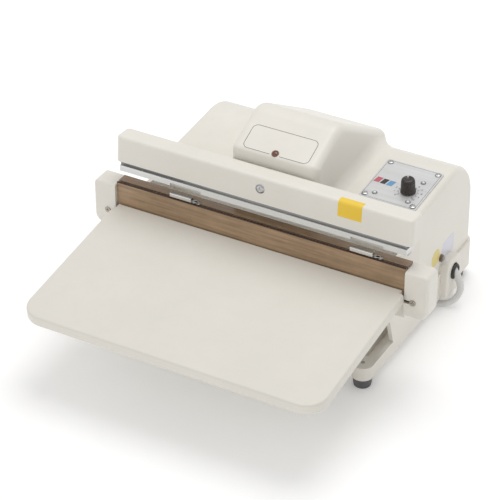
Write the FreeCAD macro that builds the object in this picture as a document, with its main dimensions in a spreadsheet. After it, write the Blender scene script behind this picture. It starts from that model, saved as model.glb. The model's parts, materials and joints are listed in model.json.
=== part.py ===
import FreeCAD, Part
import Sketcher
import itertools
import math
import os
import re

# Table-top impulse sealer: a fixed heated bed between two end blocks, a press bar on a lever arm
# that swings about a shaft inside the cover, a sloping work table in front and a timer panel.
# X runs along the seal, Y runs from front to rear and Z is up, all in millimetres.
# Sizes along Y are given from the front face of the end blocks, and centreShift then moves
# everything so that the origin lies under the middle of the sealer.

os.makedirs("parts", exist_ok=True)
doc = FreeCAD.newDocument("ImpulseSealer")
sheet = doc.addObject("Spreadsheet::Sheet", "Sizes")
sizes = {
    # Work table: a board that slopes down to the front
    "table_half_width": 158.8,
    "table_length": 178.2,
    "table_thickness": 11.4,
    "table_tilt": 6.8,
    "table_back_height": 103.2,
    "table_corner_radius": 22,
    "table_edge_radius": 2.2,
    "tongue_half_width": 155,
    "tongue_length": 5,
    "bracket_x": 94,
    "bracket_width": 20,
    "bracket_reach": 95,
    "bracket_sheet": 3,
    # Heated bed
    "bed_half_length": 157.5,
    "bed_front": 3.3,
    "bed_top": 127.5,
    "bed_bottom": 72,
    "bed_width": 13,
    "bed_wall": 3.5,
    "front_plate_thickness": 1.7,
    "shadow_groove_width": 2.5,
    "shadow_groove_depth": 7,
    "insulation_thickness": 0.6,
    "heater_width": 5,
    "heater_thickness": 0.25,
    "sheet_thickness": 0.3,
    "clip_start": 98,
    "clip_length": 24,
    "clip_height": 4.9,
    "clip_radius": 2.6,
    "clip_back": 0.4,
    "clip_tab_length": 9,
    "clip_screw_radius": 1.9,
    "terminal_size": 8,
    "terminal_height": 14,
    "end_plate_reach": 14,
    "end_plate_height": 23.5,
    # End blocks
    "block_width": 24.4,
    "block_gap": 0.5,
    "block_depth": 20.5,
    "block_top": 125.4,
    "block_bottom": 76.3,
    "block_wall": 4,
    "block_foot_radius": 10,
    "block_edge_radius": 2.5,
    "block_screw_height": 94,
    "block_screw_inset": 9,
    "block_slot_height": 1.3,
    # Press bar in its closed position, before it is swung open
    "bar_half_length": 160.3,
    "bar_depth": 22,
    "bar_front": 4.5,
    "bar_cover_height": 27.5,
    "bar_groove_height": 3.8,
    "bar_groove_depth": 1.8,
    "bar_wall": 3,
    "bar_lip_height": 6,
    "bar_edge_radius": 3,
    "rail_half_length": 155.5,
    "rail_width": 16.5,
    "rail_web_height": 16,
    "rail_inset": 3,
    "strip_seat": 0.5,
    "strip_width": 6.4,
    "strip_thickness": 3,
    "closed_gap": 0.3,
    "open_angle": 4.5,
    # Lever arm and its shaft
    "pivot_rear": 122,
    "pivot_height": 108,
    "shaft_radius": 5,
    "shaft_half_length": 49,
    "shaft_clearance": 0.05,
    "bush_wall": 3,
    "bush_reach": 5,
    "arm_half_width": 36,
    "arm_wall": 5,
    "arm_lift": 15.5,
    "arm_depth": 14,
    "arm_web": 5,
    "arm_tail_bottom": 96,
    "arm_tail_reach": 18,
    "arm_bend": 92,
    "bracket_thickness": 4,
    "bracket_half_depth": 18,
    "side_play": 0.5,
    "mount_plate_half_length": 42,
    "mount_plate_thickness": 3,
    "mount_plate_height": 18,
    # Base pan, legs and feet
    "base_half_width": 138.7,
    "base_front": 75.5,
    "base_rear": 204.6,
    "base_bottom": 10.9,
    "base_top": 41,
    "pan_wall": 3,
    "base_corner_radius": 9,
    "leg_width": 21.5,
    "leg_height": 14.5,
    "leg_wall": 4,
    "foot_radius": 9.9,
    "foot_taper": 1.4,
    "foot_front": -21.6,
    "foot_rear": 186,
    "foot_inset": 10.75,
    "cheek_top": 120,
    "cheek_thickness": 4,
    "screw_radius": 2,
    "screw_head_radius": 3.7,
    "screw_head_height": 2.2,
    "fit_gap": 0.1,
    # Cover and hump
    "cover_setback": 2.2,
    "cover_front": 74,
    "cover_rear": 201,
    "cover_front_height": 138.4,
    "cover_slope": 4.1,
    "cover_wall": 3,
    "cover_rear_radius": 48,
    "cover_edge_radius": 6,
    "hump_half_width": 47,
    "hump_front": 34.5,
    "hump_lip_height": 14.5,
    "hump_nose_drop": 23,
    "hump_ridge": 87,
    "hump_headroom": 51.5,
    "hump_rear": 190,
    "hump_rear_height": 147,
    "hump_skirt": 134,
    "hump_ridge_radius": 24,
    "hump_rear_radius": 16,
    "hump_edge_radius": 8,
    "hump_nose_radius": 4,
    "hump_flare_radius": 13,
    "lamp_radius": 2.7,
    "lamp_back": 4.5,
    "tab_front": 108,
    "tab_width": 13,
    "tab_thickness": 3,
    "tab_top": 58,
    "tab_screw_height": 50,
    # Control panel on the right of the cover
    "panel_side": 67,
    "panel_width": 60,
    "panel_front": 5,
    "panel_depth": 66,
    "panel_thickness": 1.5,
    "panel_inset": 4.5,
    "knob_across": 41.1,
    "knob_back": 29.5,
    "knob_radius": 7.7,
    "knob_top_radius": 6.2,
    "knob_height": 15,
    "knob_skirt_height": 3,
    "knob_lift": 0.8,
    "timer_shaft_radius": 3,
    "timer_radius": 8,
    "timer_depth": 9,
    "led_radius": 1.6,
    "board_drop": 24,
    "board_thickness": 1.6,
    "chip_width": 14,
    "chip_height": 9,
    "capacitor_radius": 5,
    "capacitor_height": 12,
    "led_across": 12.6,
    "led_spacing": 35.5,
    "led_front": 14.6,
    "led_back": 48.9,
    "panel_corner_radius": 1.5,
    "panel_screw_radius": 2.9,
    # Magnet, transformer and wiring inside
    "magnet_half_width": 30,
    "magnet_depth": 18,
    "magnet_front": 84,
    "magnet_height": 41.5,
    "armature_half_width": 44,
    "armature_thickness": 6,
    "armature_bottom": 112,
    "magnet_gap": 0.5,
    "magnet_coil_wall": 4,
    "magnet_coil_height": 27.5,
    "core_width": 60,
    "core_height": 50,
    "core_depth": 50,
    "core_inset": 18.7,
    "core_front": 106,
    "core_limb": 12,
    "coil_bulge": 11,
    "spring_radius": 4,
    "spring_wire": 0.6,
    "spring_turns": 9,
    "spring_length": 36,
    "spring_behind": 12,
    "anchor_thickness": 6,
    "switch_width": 9,
    "switch_height": 20,
    "switch_clearance": 3,
    "plunger_radius": 1.2,
    "plunger_length": 8,
    "plunger_travel": 1.6,
    "terminal_block_inset": 72.7,
    "terminal_block_back": 30,
    # Cord, its housing on the right side, and the reset button above it
    "housing_width": 32,
    "housing_middle": 144,
    "housing_depth": 7.3,
    "housing_bottom": 13,
    "housing_top": 53,
    "housing_corner_radius": 10,
    "housing_edge_radius": 2,
    "cord_back": 143.5,
    "grommet_sleeve": 2.3,
    "cord_height": 37.5,
    "grommet_radius": 8.2,
    "grommet_length": 3,
    "cord_radius": 3.2,
    "coil_radius": 36,
    "coil_thickness": 9.6,
    "coil_lead": 2,
    "plug_relief": 14,
    "plug_length": 26,
    "plug_width": 24,
    "plug_height": 14,
    "pin_length": 18,
    "pin_width": 6.4,
    "pin_thickness": 1.6,
    "pin_spacing": 12.7,
    "coil_x": -26,
    "coil_behind": 52,
    "button_radius": 2.4,
    "button_collar_radius": 3.8,
    "button_height": 58,
    "button_back": 130,
    "button_collar_length": 2,
    "button_travel": 1.5,
    "breaker_depth": 18,
    "breaker_width": 14,
}
for row, (name, value) in enumerate(sizes.items(), start=1):
    sheet.set(f"A{row}", name.replace("_", " "))
    sheet.set(f"B{row}", str(value))
    sheet.setAlias(f"B{row}", name)
doc.recompute()

# Places that follow from the sizes above
armBottom = "(bed_top + arm_lift)"
armTop = "(bed_top + arm_lift + arm_depth)"
humpRidge = "(bed_top + arm_lift + arm_depth + hump_headroom)"
derived = {
    "arm_bottom": armBottom,
    "arm_top": armTop,
    "mount_plate_top": f"({armBottom} + mount_plate_height)",
    "hump_ridge_height": humpRidge,
    "terminal_block_x": "(base_half_width - terminal_block_inset)",
    "cover_half_width": "(base_half_width - cover_setback)",
    "housing_reach": "(base_half_width + housing_depth)",
    "panel_left": "(base_half_width - cover_setback - panel_side)",
    "knob_x": "(base_half_width - cover_setback - panel_side + knob_across)",
    "led_left": "(base_half_width - cover_setback - panel_side + led_across)",
    "led_right": "(base_half_width - cover_setback - panel_side + led_across + led_spacing)",
    "core_left": "(core_inset - base_half_width)",
    "hump_lip_top": f"({humpRidge} - hump_nose_drop)",
    "hump_lip_bottom": f"({humpRidge} - hump_nose_drop - hump_lip_height)",
}


def full(text):
    """The text as an expression: every word with an underscore is a derived place or a cell of the sheet."""
    text = re.sub(r"\b[a-z]+(?:_[a-z0-9]+)+\b", lambda word: derived.get(word.group(), word.group()), text)
    return re.sub(r"\b([a-z]+(?:_[a-z0-9]+)+)\b", r"Sizes.\1", text)


def number(text):
    return float(sheet.evalExpression(full(text)))


def bind(thing, prop, text):
    thing.setExpression(prop, full(text))


def move(thing, x, y, z):
    for letter, text in zip("xyz", (x, y, z)):
        bind(thing, "Placement.Base." + letter, text)


def turn(thing, axis, text):
    """Turn about a fixed axis; the sign goes into the axis, so that the angle stays positive."""
    thing.Placement = FreeCAD.Placement(FreeCAD.Vector(), FreeCAD.Rotation(FreeCAD.Vector(*axis), 10))
    bind(thing, "Placement.Rotation.Angle", text)


def box(name, x, y, z, length, width, height):
    solid = doc.addObject("Part::Box", name)
    bind(solid, "Length", length)
    bind(solid, "Width", width)
    bind(solid, "Height", height)
    move(solid, x, y, z)
    return solid


axisTurns = {"x": ((0, 1, 0), 90), "y": ((-1, 0, 0), 90), "z": ((0, 0, 1), 0)}


def rod(name, x, y, z, radius, length, axis="z"):
    """A cylinder that starts at the point and runs along the axis."""
    solid = doc.addObject("Part::Cylinder", name)
    bind(solid, "Radius", radius)
    bind(solid, "Height", length)
    about, degrees = axisTurns[axis]
    solid.Placement = FreeCAD.Placement(FreeCAD.Vector(), FreeCAD.Rotation(FreeCAD.Vector(*about), degrees))
    move(solid, x, y, z)
    return solid


def cone(name, x, y, z, lowRadius, highRadius, length, axis="z"):
    solid = doc.addObject("Part::Cone", name)
    bind(solid, "Radius1", lowRadius)
    bind(solid, "Radius2", highRadius)
    bind(solid, "Height", length)
    about, degrees = axisTurns[axis]
    solid.Placement = FreeCAD.Placement(FreeCAD.Vector(), FreeCAD.Rotation(FreeCAD.Vector(*about), degrees))
    move(solid, x, y, z)
    return solid


def fuse(name, *solids):
    whole = doc.addObject("Part::MultiFuse", name)
    whole.Shapes = list(solids)
    whole.Refine = True
    return whole


def cut(name, base, *tools):
    whole = doc.addObject("Part::Cut", name)
    whole.Base = base
    whole.Tool = tools[0] if len(tools) == 1 else fuse(name + "Tools", *tools)
    return whole


def group(name, *solids):
    whole = doc.addObject("Part::Compound", name)
    whole.Links = list(solids)
    return whole


def originPlane(body, role):
    for feature in body.Origin.OriginFeatures:
        if feature.Role == role:
            return feature


def sketchOn(body, name, role):
    sketch = body.newObject("Sketcher::SketchObject", name)
    sketch.AttachmentSupport = [(originPlane(body, role), "")]
    sketch.MapMode = "FlatFace"
    return sketch


def constrain(sketch, kind, geometry, point, text):
    """A distance from the sketch's origin to a point of its geometry, bound to the sheet."""
    index = sketch.addConstraint(Sketcher.Constraint(kind, -1, 1, geometry, point, number(text)))
    bind(sketch, f"Constraints[{index}]", text)


def outline(body, name, role, points):
    """A closed outline of straight lines through points given as pairs of expressions."""
    sketch = sketchOn(body, name, role)
    places = [FreeCAD.Vector(number(u), number(v), 0) for u, v in points]
    for start, end in zip(places, places[1:] + places[:1]):
        sketch.addGeometry(Part.LineSegment(start, end), False)
    for index in range(len(places)):
        after = (index + 1) % len(places)
        sketch.addConstraint(Sketcher.Constraint("Coincident", index, 2, after, 1))
    for index, (u, v) in enumerate(points):
        constrain(sketch, "DistanceX", index, 1, u)
        constrain(sketch, "DistanceY", index, 1, v)
    return sketch


def pad(body, sketch, length, middle=False, back=False):
    feature = body.newObject("PartDesign::Pad", sketch.Name + "Pad")
    feature.Profile = sketch
    bind(feature, "Length", length)
    feature.SideType = "Symmetric" if middle else "One side"
    feature.Reversed = back
    doc.recompute()
    return feature


def edgesOf(feature, test):
    """Names of the feature's edges whose box passes the test."""
    return [f"Edge{index + 1}" for index, edge in enumerate(feature.Shape.Edges) if test(edge.BoundBox)]


def rounding(body, feature, radius, test):
    names = edgesOf(feature, test)
    if not names:
        raise RuntimeError(f"no edge to round on {body.Label}")
    fillet = body.newObject("PartDesign::Fillet", body.Name + "Fillet")
    fillet.Base = (feature, names)
    bind(fillet, "Radius", radius)
    doc.recompute()
    return fillet


def near(first, second):
    return abs(first - second) < 0.01


# The whole sealer is moved along Y so that it stands evenly about the origin
tableBack = "(bed_front - fit_gap - table_thickness * sin(table_tilt))"
tableFront = (f"({tableBack} - (table_length - table_edge_radius) * cos(table_tilt)"
              " + table_edge_radius * sin(table_tilt) - table_edge_radius)")
centreShift = f"(-(base_rear + {tableFront}) / 2)"
nodes = []
sideScrews = []


def keep(solid, label):
    """A fixed sub-part."""
    solid.Label = label
    bind(solid, "Placement.Base.y", centreShift)
    nodes.append(solid)
    return solid


def keepTurned(solid, label, axis, angle, y, z):
    """A sub-part made flat about the origin, then turned and set down at Y and Z."""
    solid.Label = label
    turn(solid, axis, angle)
    bind(solid, "Placement.Base.y", f"{y} + {centreShift}")
    bind(solid, "Placement.Base.z", z)
    nodes.append(solid)
    return solid


def keepSwung(solid, label):
    """A sub-part of the arm: made as it lies when closed, then swung open about the shaft."""
    return keepTurned(solid, label, (-1, 0, 0), "open_angle",
                      "pivot_rear * (1 - cos(open_angle)) - pivot_height * sin(open_angle)",
                      "pivot_height * (1 - cos(open_angle)) + pivot_rear * sin(open_angle)")


def keepOnSlope(solid, label):
    """A sub-part on the sloping top of the cover, made flat with its back edge along +Y."""
    return keepTurned(solid, label, (1, 0, 0), "cover_slope", "cover_front", "cover_front_height")


def newBody(name):
    return doc.addObject("PartDesign::Body", name)


def workTable():
    body = newBody("WorkTable")
    half, tongue, length = "table_half_width", "tongue_half_width", "table_length"
    sketch = outline(body, "TableOutline", "XY_Plane", [
        (f"-{tongue}", "0"), (f"-{tongue}", "-tongue_length"), (f"-{half}", "-tongue_length"),
        (f"-{half}", f"-{length}"), (half, f"-{length}"), (half, "-tongue_length"),
        (tongue, "-tongue_length"), (tongue, "0")])
    board = pad(body, sketch, "table_thickness", back=True)
    front = number("-table_length")
    step = number("-tongue_length")
    corners = rounding(body, board, "table_corner_radius",
                       lambda b: near(b.YMin, front) and near(b.YMax, front) and near(b.XMin, b.XMax))
    rounding(body, corners, "table_edge_radius",
             lambda b: near(b.ZMin, b.ZMax) and b.YMax < step + 0.01 and b.YMin < step - 0.01)
    keepTurned(body, "work_table", (1, 0, 0), "table_tilt", tableBack, "table_back_height")


def tableBrackets():
    """Two steel angles that carry the table on the front of the bed."""
    wall = "(bed_front - fit_gap)"
    under = "(table_back_height - table_thickness / cos(table_tilt) - fit_gap)"
    drop = "bracket_reach * tan(table_tilt)"
    angles = []
    for side, x in (("Right", "bracket_x"), ("Left", "-bracket_x - bracket_width")):
        body = newBody("TableBracket" + side)
        sketch = outline(body, "BracketProfile" + side, "YZ_Plane", [
            (wall, under), (f"{wall} - bracket_reach", f"{under} - {drop}"),
            (f"{wall} - bracket_reach", f"{under} - {drop} - bracket_sheet"),
            (f"{wall} - bracket_sheet", f"{under} - bracket_sheet * 1.5"),
            (f"{wall} - bracket_sheet", "bed_bottom"), (wall, "bed_bottom")])
        pad(body, sketch, "bracket_width")
        bind(body, "Placement.Base.x", x)
        angles.append(body)
    keep(group("TableBrackets", *angles), "table_brackets")


def endBlocks():
    inner = "(bed_half_length + block_gap)"
    for side, sign in (("right", ""), ("left", "-")):
        body = newBody("EndBlock" + side.title())
        sketch = outline(body, "BlockFace" + side.title(), "XZ_Plane", [
            (f"{sign}{inner}", "block_bottom"), (f"{sign}({inner} + block_width)", "block_bottom"),
            (f"{sign}({inner} + block_width)", "block_top"), (f"{sign}{inner}", "block_top")])
        block = pad(body, sketch, "block_depth", back=True)
        outer = number(f"{sign}({inner} + block_width)")
        low, high = number("block_bottom"), number("block_top")
        foot = rounding(body, block, "block_foot_radius",
                        lambda b: near(b.XMin, outer) and near(b.XMax, outer) and near(b.ZMax, low))
        brow = rounding(body, foot, "block_edge_radius * 2",
                        lambda b: near(b.XMin, outer) and near(b.XMax, outer) and near(b.ZMin, high))
        rounding(body, brow, "block_edge_radius", lambda b: near(b.YMax, 0) and not near(b.ZMin, low))
        hollow = box("BlockHollow" + side,
                     f"{inner} - 1" if side == "right" else f"-({inner} + block_width - block_wall)",
                     "block_wall", "block_bottom + block_wall", "block_width - block_wall + 1",
                     "block_depth", "block_top - block_bottom - 2 * block_wall")
        screwHole = rod("BlockHole" + side, f"{sign}({inner} + block_screw_inset)", "-1",
                        "block_screw_height",
                        "screw_radius + fit_gap", "block_wall + 2", "y")
        tools = [hollow, screwHole]
        if side == "right":
            tools.append(box("BlockSlot", inner, "-1", "block_screw_height - 2 * block_slot_height",
                             "block_screw_inset - screw_head_radius", "block_wall + 2", "block_slot_height"))
        keep(cut("EndBlockCut" + side, body, *tools), f"end_block_{side}")


plateBack = "(bed_front + front_plate_thickness)"
bedFace = f"({plateBack} + shadow_groove_width)"
bedRear = f"({plateBack} + bed_width)"
sealLine = f"(({bedFace} + {bedRear}) / 2)"
railTop = "(bed_top - sheet_thickness - heater_thickness - insulation_thickness)"
bedLength = "2 * bed_half_length"


def heatedBed():
    """An aluminium rail with a covered front plate, and the heater under its slip sheet on top."""
    rail = box("RailBlock", "-bed_half_length", plateBack, "bed_bottom", bedLength, "bed_width",
               f"{railTop} - bed_bottom")
    groove = box("RailGroove", "-bed_half_length - 1", f"{plateBack} - 1", f"{railTop} - shadow_groove_depth",
                 f"{bedLength} + 2", "shadow_groove_width + 1", "shadow_groove_depth + 1")
    channel = box("RailChannel", "-bed_half_length - 1", f"{plateBack} + bed_wall", "bed_bottom - 1",
                  f"{bedLength} + 2", "bed_width - 2 * bed_wall",
                  f"{railTop} - shadow_groove_depth - bed_wall - bed_bottom + 1")
    keep(cut("BedRail", rail, groove, channel), "bed_rail")
    plate = box("FrontPlate", "-bed_half_length", "bed_front", "bed_bottom", bedLength,
                "front_plate_thickness", "bed_top - bed_bottom")
    keep(group("BedFrontPlate", plate), "bed_front_plate")
    strip = box("InsulationBlock", "-bed_half_length", bedFace, railTop, bedLength,
                "bed_width - shadow_groove_width", "insulation_thickness")
    keep(group("InsulationStrip", strip), "insulation_strip")
    ribbon = box("RibbonTop", "-bed_half_length - heater_thickness", f"{sealLine} - heater_width / 2",
                 f"{railTop} + insulation_thickness", f"{bedLength} + 2 * heater_thickness", "heater_width",
                 "heater_thickness")
    ends = [box("RibbonEnd" + side, x, f"{sealLine} - heater_width / 2", f"{railTop} - terminal_height",
                "heater_thickness", "heater_width", "terminal_height + insulation_thickness + heater_thickness")
            for side, x in (("Right", "bed_half_length"), ("Left", "-bed_half_length - heater_thickness"))]
    keep(fuse("HeaterRibbon", ribbon, *ends), "heater_ribbon")
    cloth = box("SlipSheet", "-bed_half_length", bedFace, "bed_top - sheet_thickness", bedLength,
                "bed_width - shadow_groove_width", "sheet_thickness")
    keep(group("SlipSheetGroup", cloth), "slip_sheet")


def bedHardware():
    """Chrome clips that hold the front cloth, heater terminals and the brackets of the end blocks."""
    middle = f"({plateBack} + shadow_groove_width / 2 + clip_back)"
    clips, screws = [], []
    for side, x in (("Right", "clip_start"), ("Left", "-clip_start")):
        bead = rod("ClipBead" + side, x, middle, "bed_top + clip_height - clip_radius", "clip_radius",
                   "clip_length", "x")
        below = box("ClipBelow" + side, f"{x} - 1", f"{middle} - 2 * clip_radius",
                    "bed_top - 2 * clip_radius",
                    "clip_length + 2", "4 * clip_radius", "2 * clip_radius")
        tab = box("ClipTab" + side, f"{x} + clip_length - 1", f"{middle} - clip_radius + 0.4", "bed_top",
                  "clip_tab_length + 1", "2 * clip_radius - 0.8", "sheet_thickness * 2")
        hole = rod("ClipHole" + side, f"{x} + clip_length + clip_tab_length / 2", middle, "bed_top - 1",
                   "shadow_groove_width / 2 - 2 * fit_gap", "3")
        clips.append(cut("Clip" + side, fuse("ClipWhole" + side, cut("ClipCap" + side, bead, below), tab),
                         hole))
        screwX = f"{x} + clip_length + clip_tab_length / 2"
        head = cone("ClipHead" + side, screwX, middle, "bed_top + 2 * sheet_thickness", "clip_screw_radius",
                    "clip_screw_radius * 0.7", "1.2")
        shank = rod("ClipShank" + side, screwX, middle, "bed_top - shadow_groove_depth / 2",
                    "shadow_groove_width / 2 - clip_back - 2 * fit_gap", "shadow_groove_depth / 2 + 1")
        screws.append(fuse("ClipScrew" + side, head, shank))
    keep(group("SheetClips", *clips), "sheet_clips")
    keep(group("ClipScrews", *screws), "clip_screws")
    terminals, terminalScrews, plates = [], [], []
    for side, sign in (("Right", 1), ("Left", -1)):
        def outward(start, width):
            return start if sign > 0 else f"-({start}) - ({width})"
        reach = "terminal_size"
        start = "bed_half_length + heater_thickness"
        height = "terminal_size"
        terminals.append(box("Terminal" + side, outward(start, reach), f"{sealLine} - terminal_size / 2",
                             f"{railTop} - terminal_height", reach, "terminal_size", height))
        head = outward(f"{start} + terminal_size", "screw_head_height")
        terminalScrews.append(rod("TerminalScrew" + side, head, sealLine,
                                  f"{railTop} - terminal_height + ({height}) / 2",
                                  "screw_head_radius", "screw_head_height", "x"))
        plates.append(box("EndPlate" + side, outward("bed_half_length", "end_plate_reach"), "block_wall",
                          "block_bottom + block_wall + closed_gap", "end_plate_reach", "bracket_sheet",
                          "end_plate_height"))
    keep(group("HeaterTerminals", *terminals), "heater_terminals")
    keep(group("TerminalScrews", *terminalScrews), "terminal_screws")
    holes = [rod("EndPlateHole" + side, f"{sign}(bed_half_length + block_gap + block_screw_inset)",
                 "block_wall - 1", "block_screw_height", "screw_radius", "bracket_sheet + 2", "y")
             for side, sign in (("Right", ""), ("Left", "-"))]
    keep(cut("EndPlates", group("EndPlatePair", *plates), *holes), "end_plates")
    for side, sign in (("Right", ""), ("Left", "-")):
        x = f"{sign}(bed_half_length + block_gap + block_screw_inset)"
        sideScrews.append(fuse("BlockScrew" + side,
                                rod("BlockScrewHead" + side, x, "-screw_head_height / 2",
                                    "block_screw_height",
                                    "screw_head_radius", "screw_head_height / 2", "y"),
                                rod("BlockScrewShank" + side, x, "-screw_head_height / 4",
                                    "block_screw_height",
                                    "screw_radius", "block_wall + bracket_sheet + 1", "y")))


stripBottom = "(bed_top + closed_gap)"
lipBottom = f"({stripBottom} + strip_thickness - strip_seat)"
lipTop = f"({lipBottom} + bar_lip_height)"
coverBottom = f"({lipTop} + bar_groove_height)"
barBack = "(bar_front + bar_depth)"
barTop = f"({coverBottom} + bar_cover_height)"


def pressBar():
    """The cream bar cover, the aluminium rail in it and the silicone strip under the rail."""
    body = newBody("PressBarCover")
    sketch = outline(body, "BarSection", "YZ_Plane", [
        ("bar_front", coverBottom), (barBack, coverBottom), (barBack, barTop), ("bar_front", barTop)])
    block = pad(body, sketch, "2 * bar_half_length", middle=True)
    end, low = number("bar_half_length"), number(coverBottom)
    upright = rounding(body, block, "bar_edge_radius * 1.6",
                       lambda b: near(abs(b.XMin), end) and near(b.XMin, b.XMax) and near(b.YMin, b.YMax))
    rounding(body, upright, "bar_edge_radius", lambda b: near(b.ZMin, b.ZMax) and b.ZMin > low + 1)
    hollow = box("BarHollow", "-bar_half_length + bar_wall * 2", "bar_front + bar_wall", f"{coverBottom} - 1",
                 "2 * bar_half_length - 4 * bar_wall", "bar_depth - 2 * bar_wall",
                 "bar_cover_height - bar_wall - 1")
    screwHole = rod("BarScrewHole", "0", "bar_front - 1", f"{barTop} - bar_cover_height / 2 + 1.5",
                    "screw_radius + fit_gap", "bar_wall + 2", "y")
    keepSwung(cut("PressBarShell", body, hollow, screwHole), "press_bar_cover")
    foot = box("RailFoot", "-rail_half_length", "bar_front", lipBottom, "2 * rail_half_length", "rail_width",
               "bar_lip_height")
    web = box("RailWeb", "-rail_half_length + rail_inset", "bar_front + bar_wall + rail_inset", f"{lipTop} - 1",
              "2 * rail_half_length - 2 * rail_inset", "bar_depth - 2 * bar_wall - rail_inset",
              "rail_web_height + 1")
    ridge = box("RailRidge", "-rail_half_length + rail_inset", "bar_front + bar_groove_depth",
                f"{lipTop} - 1",
                "2 * rail_half_length - 2 * rail_inset", "bar_wall + rail_inset", "bar_groove_height + 1")
    seat = box("RailSeat", "-rail_half_length - 1", f"{sealLine} - strip_width / 2", f"{lipBottom} - 1",
               "2 * rail_half_length + 2", "strip_width", "strip_seat + 1")
    notches = [box("RailNotch" + side, x, "bar_front - 1", f"{lipBottom} - 1",
                   "clip_length + clip_tab_length + 4 * closed_gap",
                   f"{sealLine} - strip_width / 2 - bar_front + 1",
                    f"bed_top + clip_height + 2 * closed_gap - {lipBottom} + 1")
               for side, x in (("Right", "clip_start - 2 * closed_gap"),
                               ("Left", "-clip_start - 2 * closed_gap"))]
    keepSwung(cut("PressRail", fuse("RailWhole", foot, web, ridge), seat, *notches), "press_rail")
    strip = box("StripBlock", "-rail_half_length", f"{sealLine} - strip_width / 2", stripBottom,
                "2 * rail_half_length", "strip_width", "strip_thickness")
    keepSwung(group("SiliconeStrip", strip), "silicone_strip")
    screwZ = f"{barTop} - bar_cover_height / 2 + 1.5"
    head = rod("BarScrewHead", "0", "bar_front - screw_head_height / 2", screwZ, "screw_head_radius",
               "screw_head_height / 2", "y")
    shank = rod("BarScrewShank", "0", "bar_front - screw_head_height / 4", screwZ, "screw_radius",
                "bar_wall + rail_inset", "y")
    keepSwung(fuse("BarScrew", head, shank), "bar_screw")


magnetBack = "(magnet_front + magnet_depth)"
armFront = f"({barBack} + mount_plate_thickness)"
armatureTop = "(armature_bottom + armature_thickness)"
bushRadius = "(shaft_radius + shaft_clearance + bush_wall)"


def leverArm():
    """Two side plates under one web, from the bar's mounting plate back to the shaft."""
    body = newBody("LeverArm")
    tail = "(pivot_rear + arm_tail_reach)"
    sketch = outline(body, "ArmSide", "YZ_Plane", [
        (armFront, "arm_bottom"), ("cover_front + 4", "arm_bottom"), ("magnet_front - 4", armatureTop),
        (f"{magnetBack} + 1", armatureTop), ("pivot_rear - 10", "arm_tail_bottom"), (tail, "arm_tail_bottom"),
        (tail, "pivot_height + 12"), ("pivot_rear - 4", "pivot_height + 16"), ("arm_bend", "arm_top"),
        (armFront, "arm_top")])
    pad(body, sketch, "2 * arm_half_width", middle=True)
    inside = box("ArmInside", "-arm_half_width + arm_wall", f"{armFront} + arm_wall", "arm_tail_bottom - 1",
                 "2 * arm_half_width - 2 * arm_wall", "pivot_rear", "arm_top - arm_web - arm_tail_bottom + 1")
    bore = rod("ArmBore", "-arm_half_width - 1", "pivot_rear", "pivot_height", bushRadius,
               "2 * arm_half_width + 2", "x")
    plate = box("MountPlate", "-mount_plate_half_length", barBack, "arm_bottom",
                "2 * mount_plate_half_length",
                "mount_plate_thickness", "mount_plate_top - arm_bottom")
    keepSwung(cut("ArmCut", fuse("ArmWhole", body, plate), inside, bore), "lever_arm")
    bushes = []
    for side, x in (("Right", "arm_half_width - arm_wall - 1"), ("Left", "-arm_half_width - bush_reach")):
        length = "arm_wall + 1 + bush_reach"
        bushes.append(cut("Bush" + side, rod("BushOuter" + side, x, "pivot_rear", "pivot_height", bushRadius,
                                             length, "x"),
                          rod("BushBore" + side, f"{x} - 1", "pivot_rear", "pivot_height",
                              "shaft_radius + shaft_clearance", f"{length} + 2", "x")))
    keepSwung(group("PivotBushes", *bushes), "pivot_bushes")
    armature = box("ArmatureBlock", "-armature_half_width", "magnet_front", "armature_bottom",
                   "2 * armature_half_width",
                   "magnet_depth", "armature_thickness")
    keepSwung(group("Armature", armature), "armature")


panFloor = "(base_bottom + pan_wall)"
bracketStart = "(arm_half_width + bush_reach + side_play)"


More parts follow.
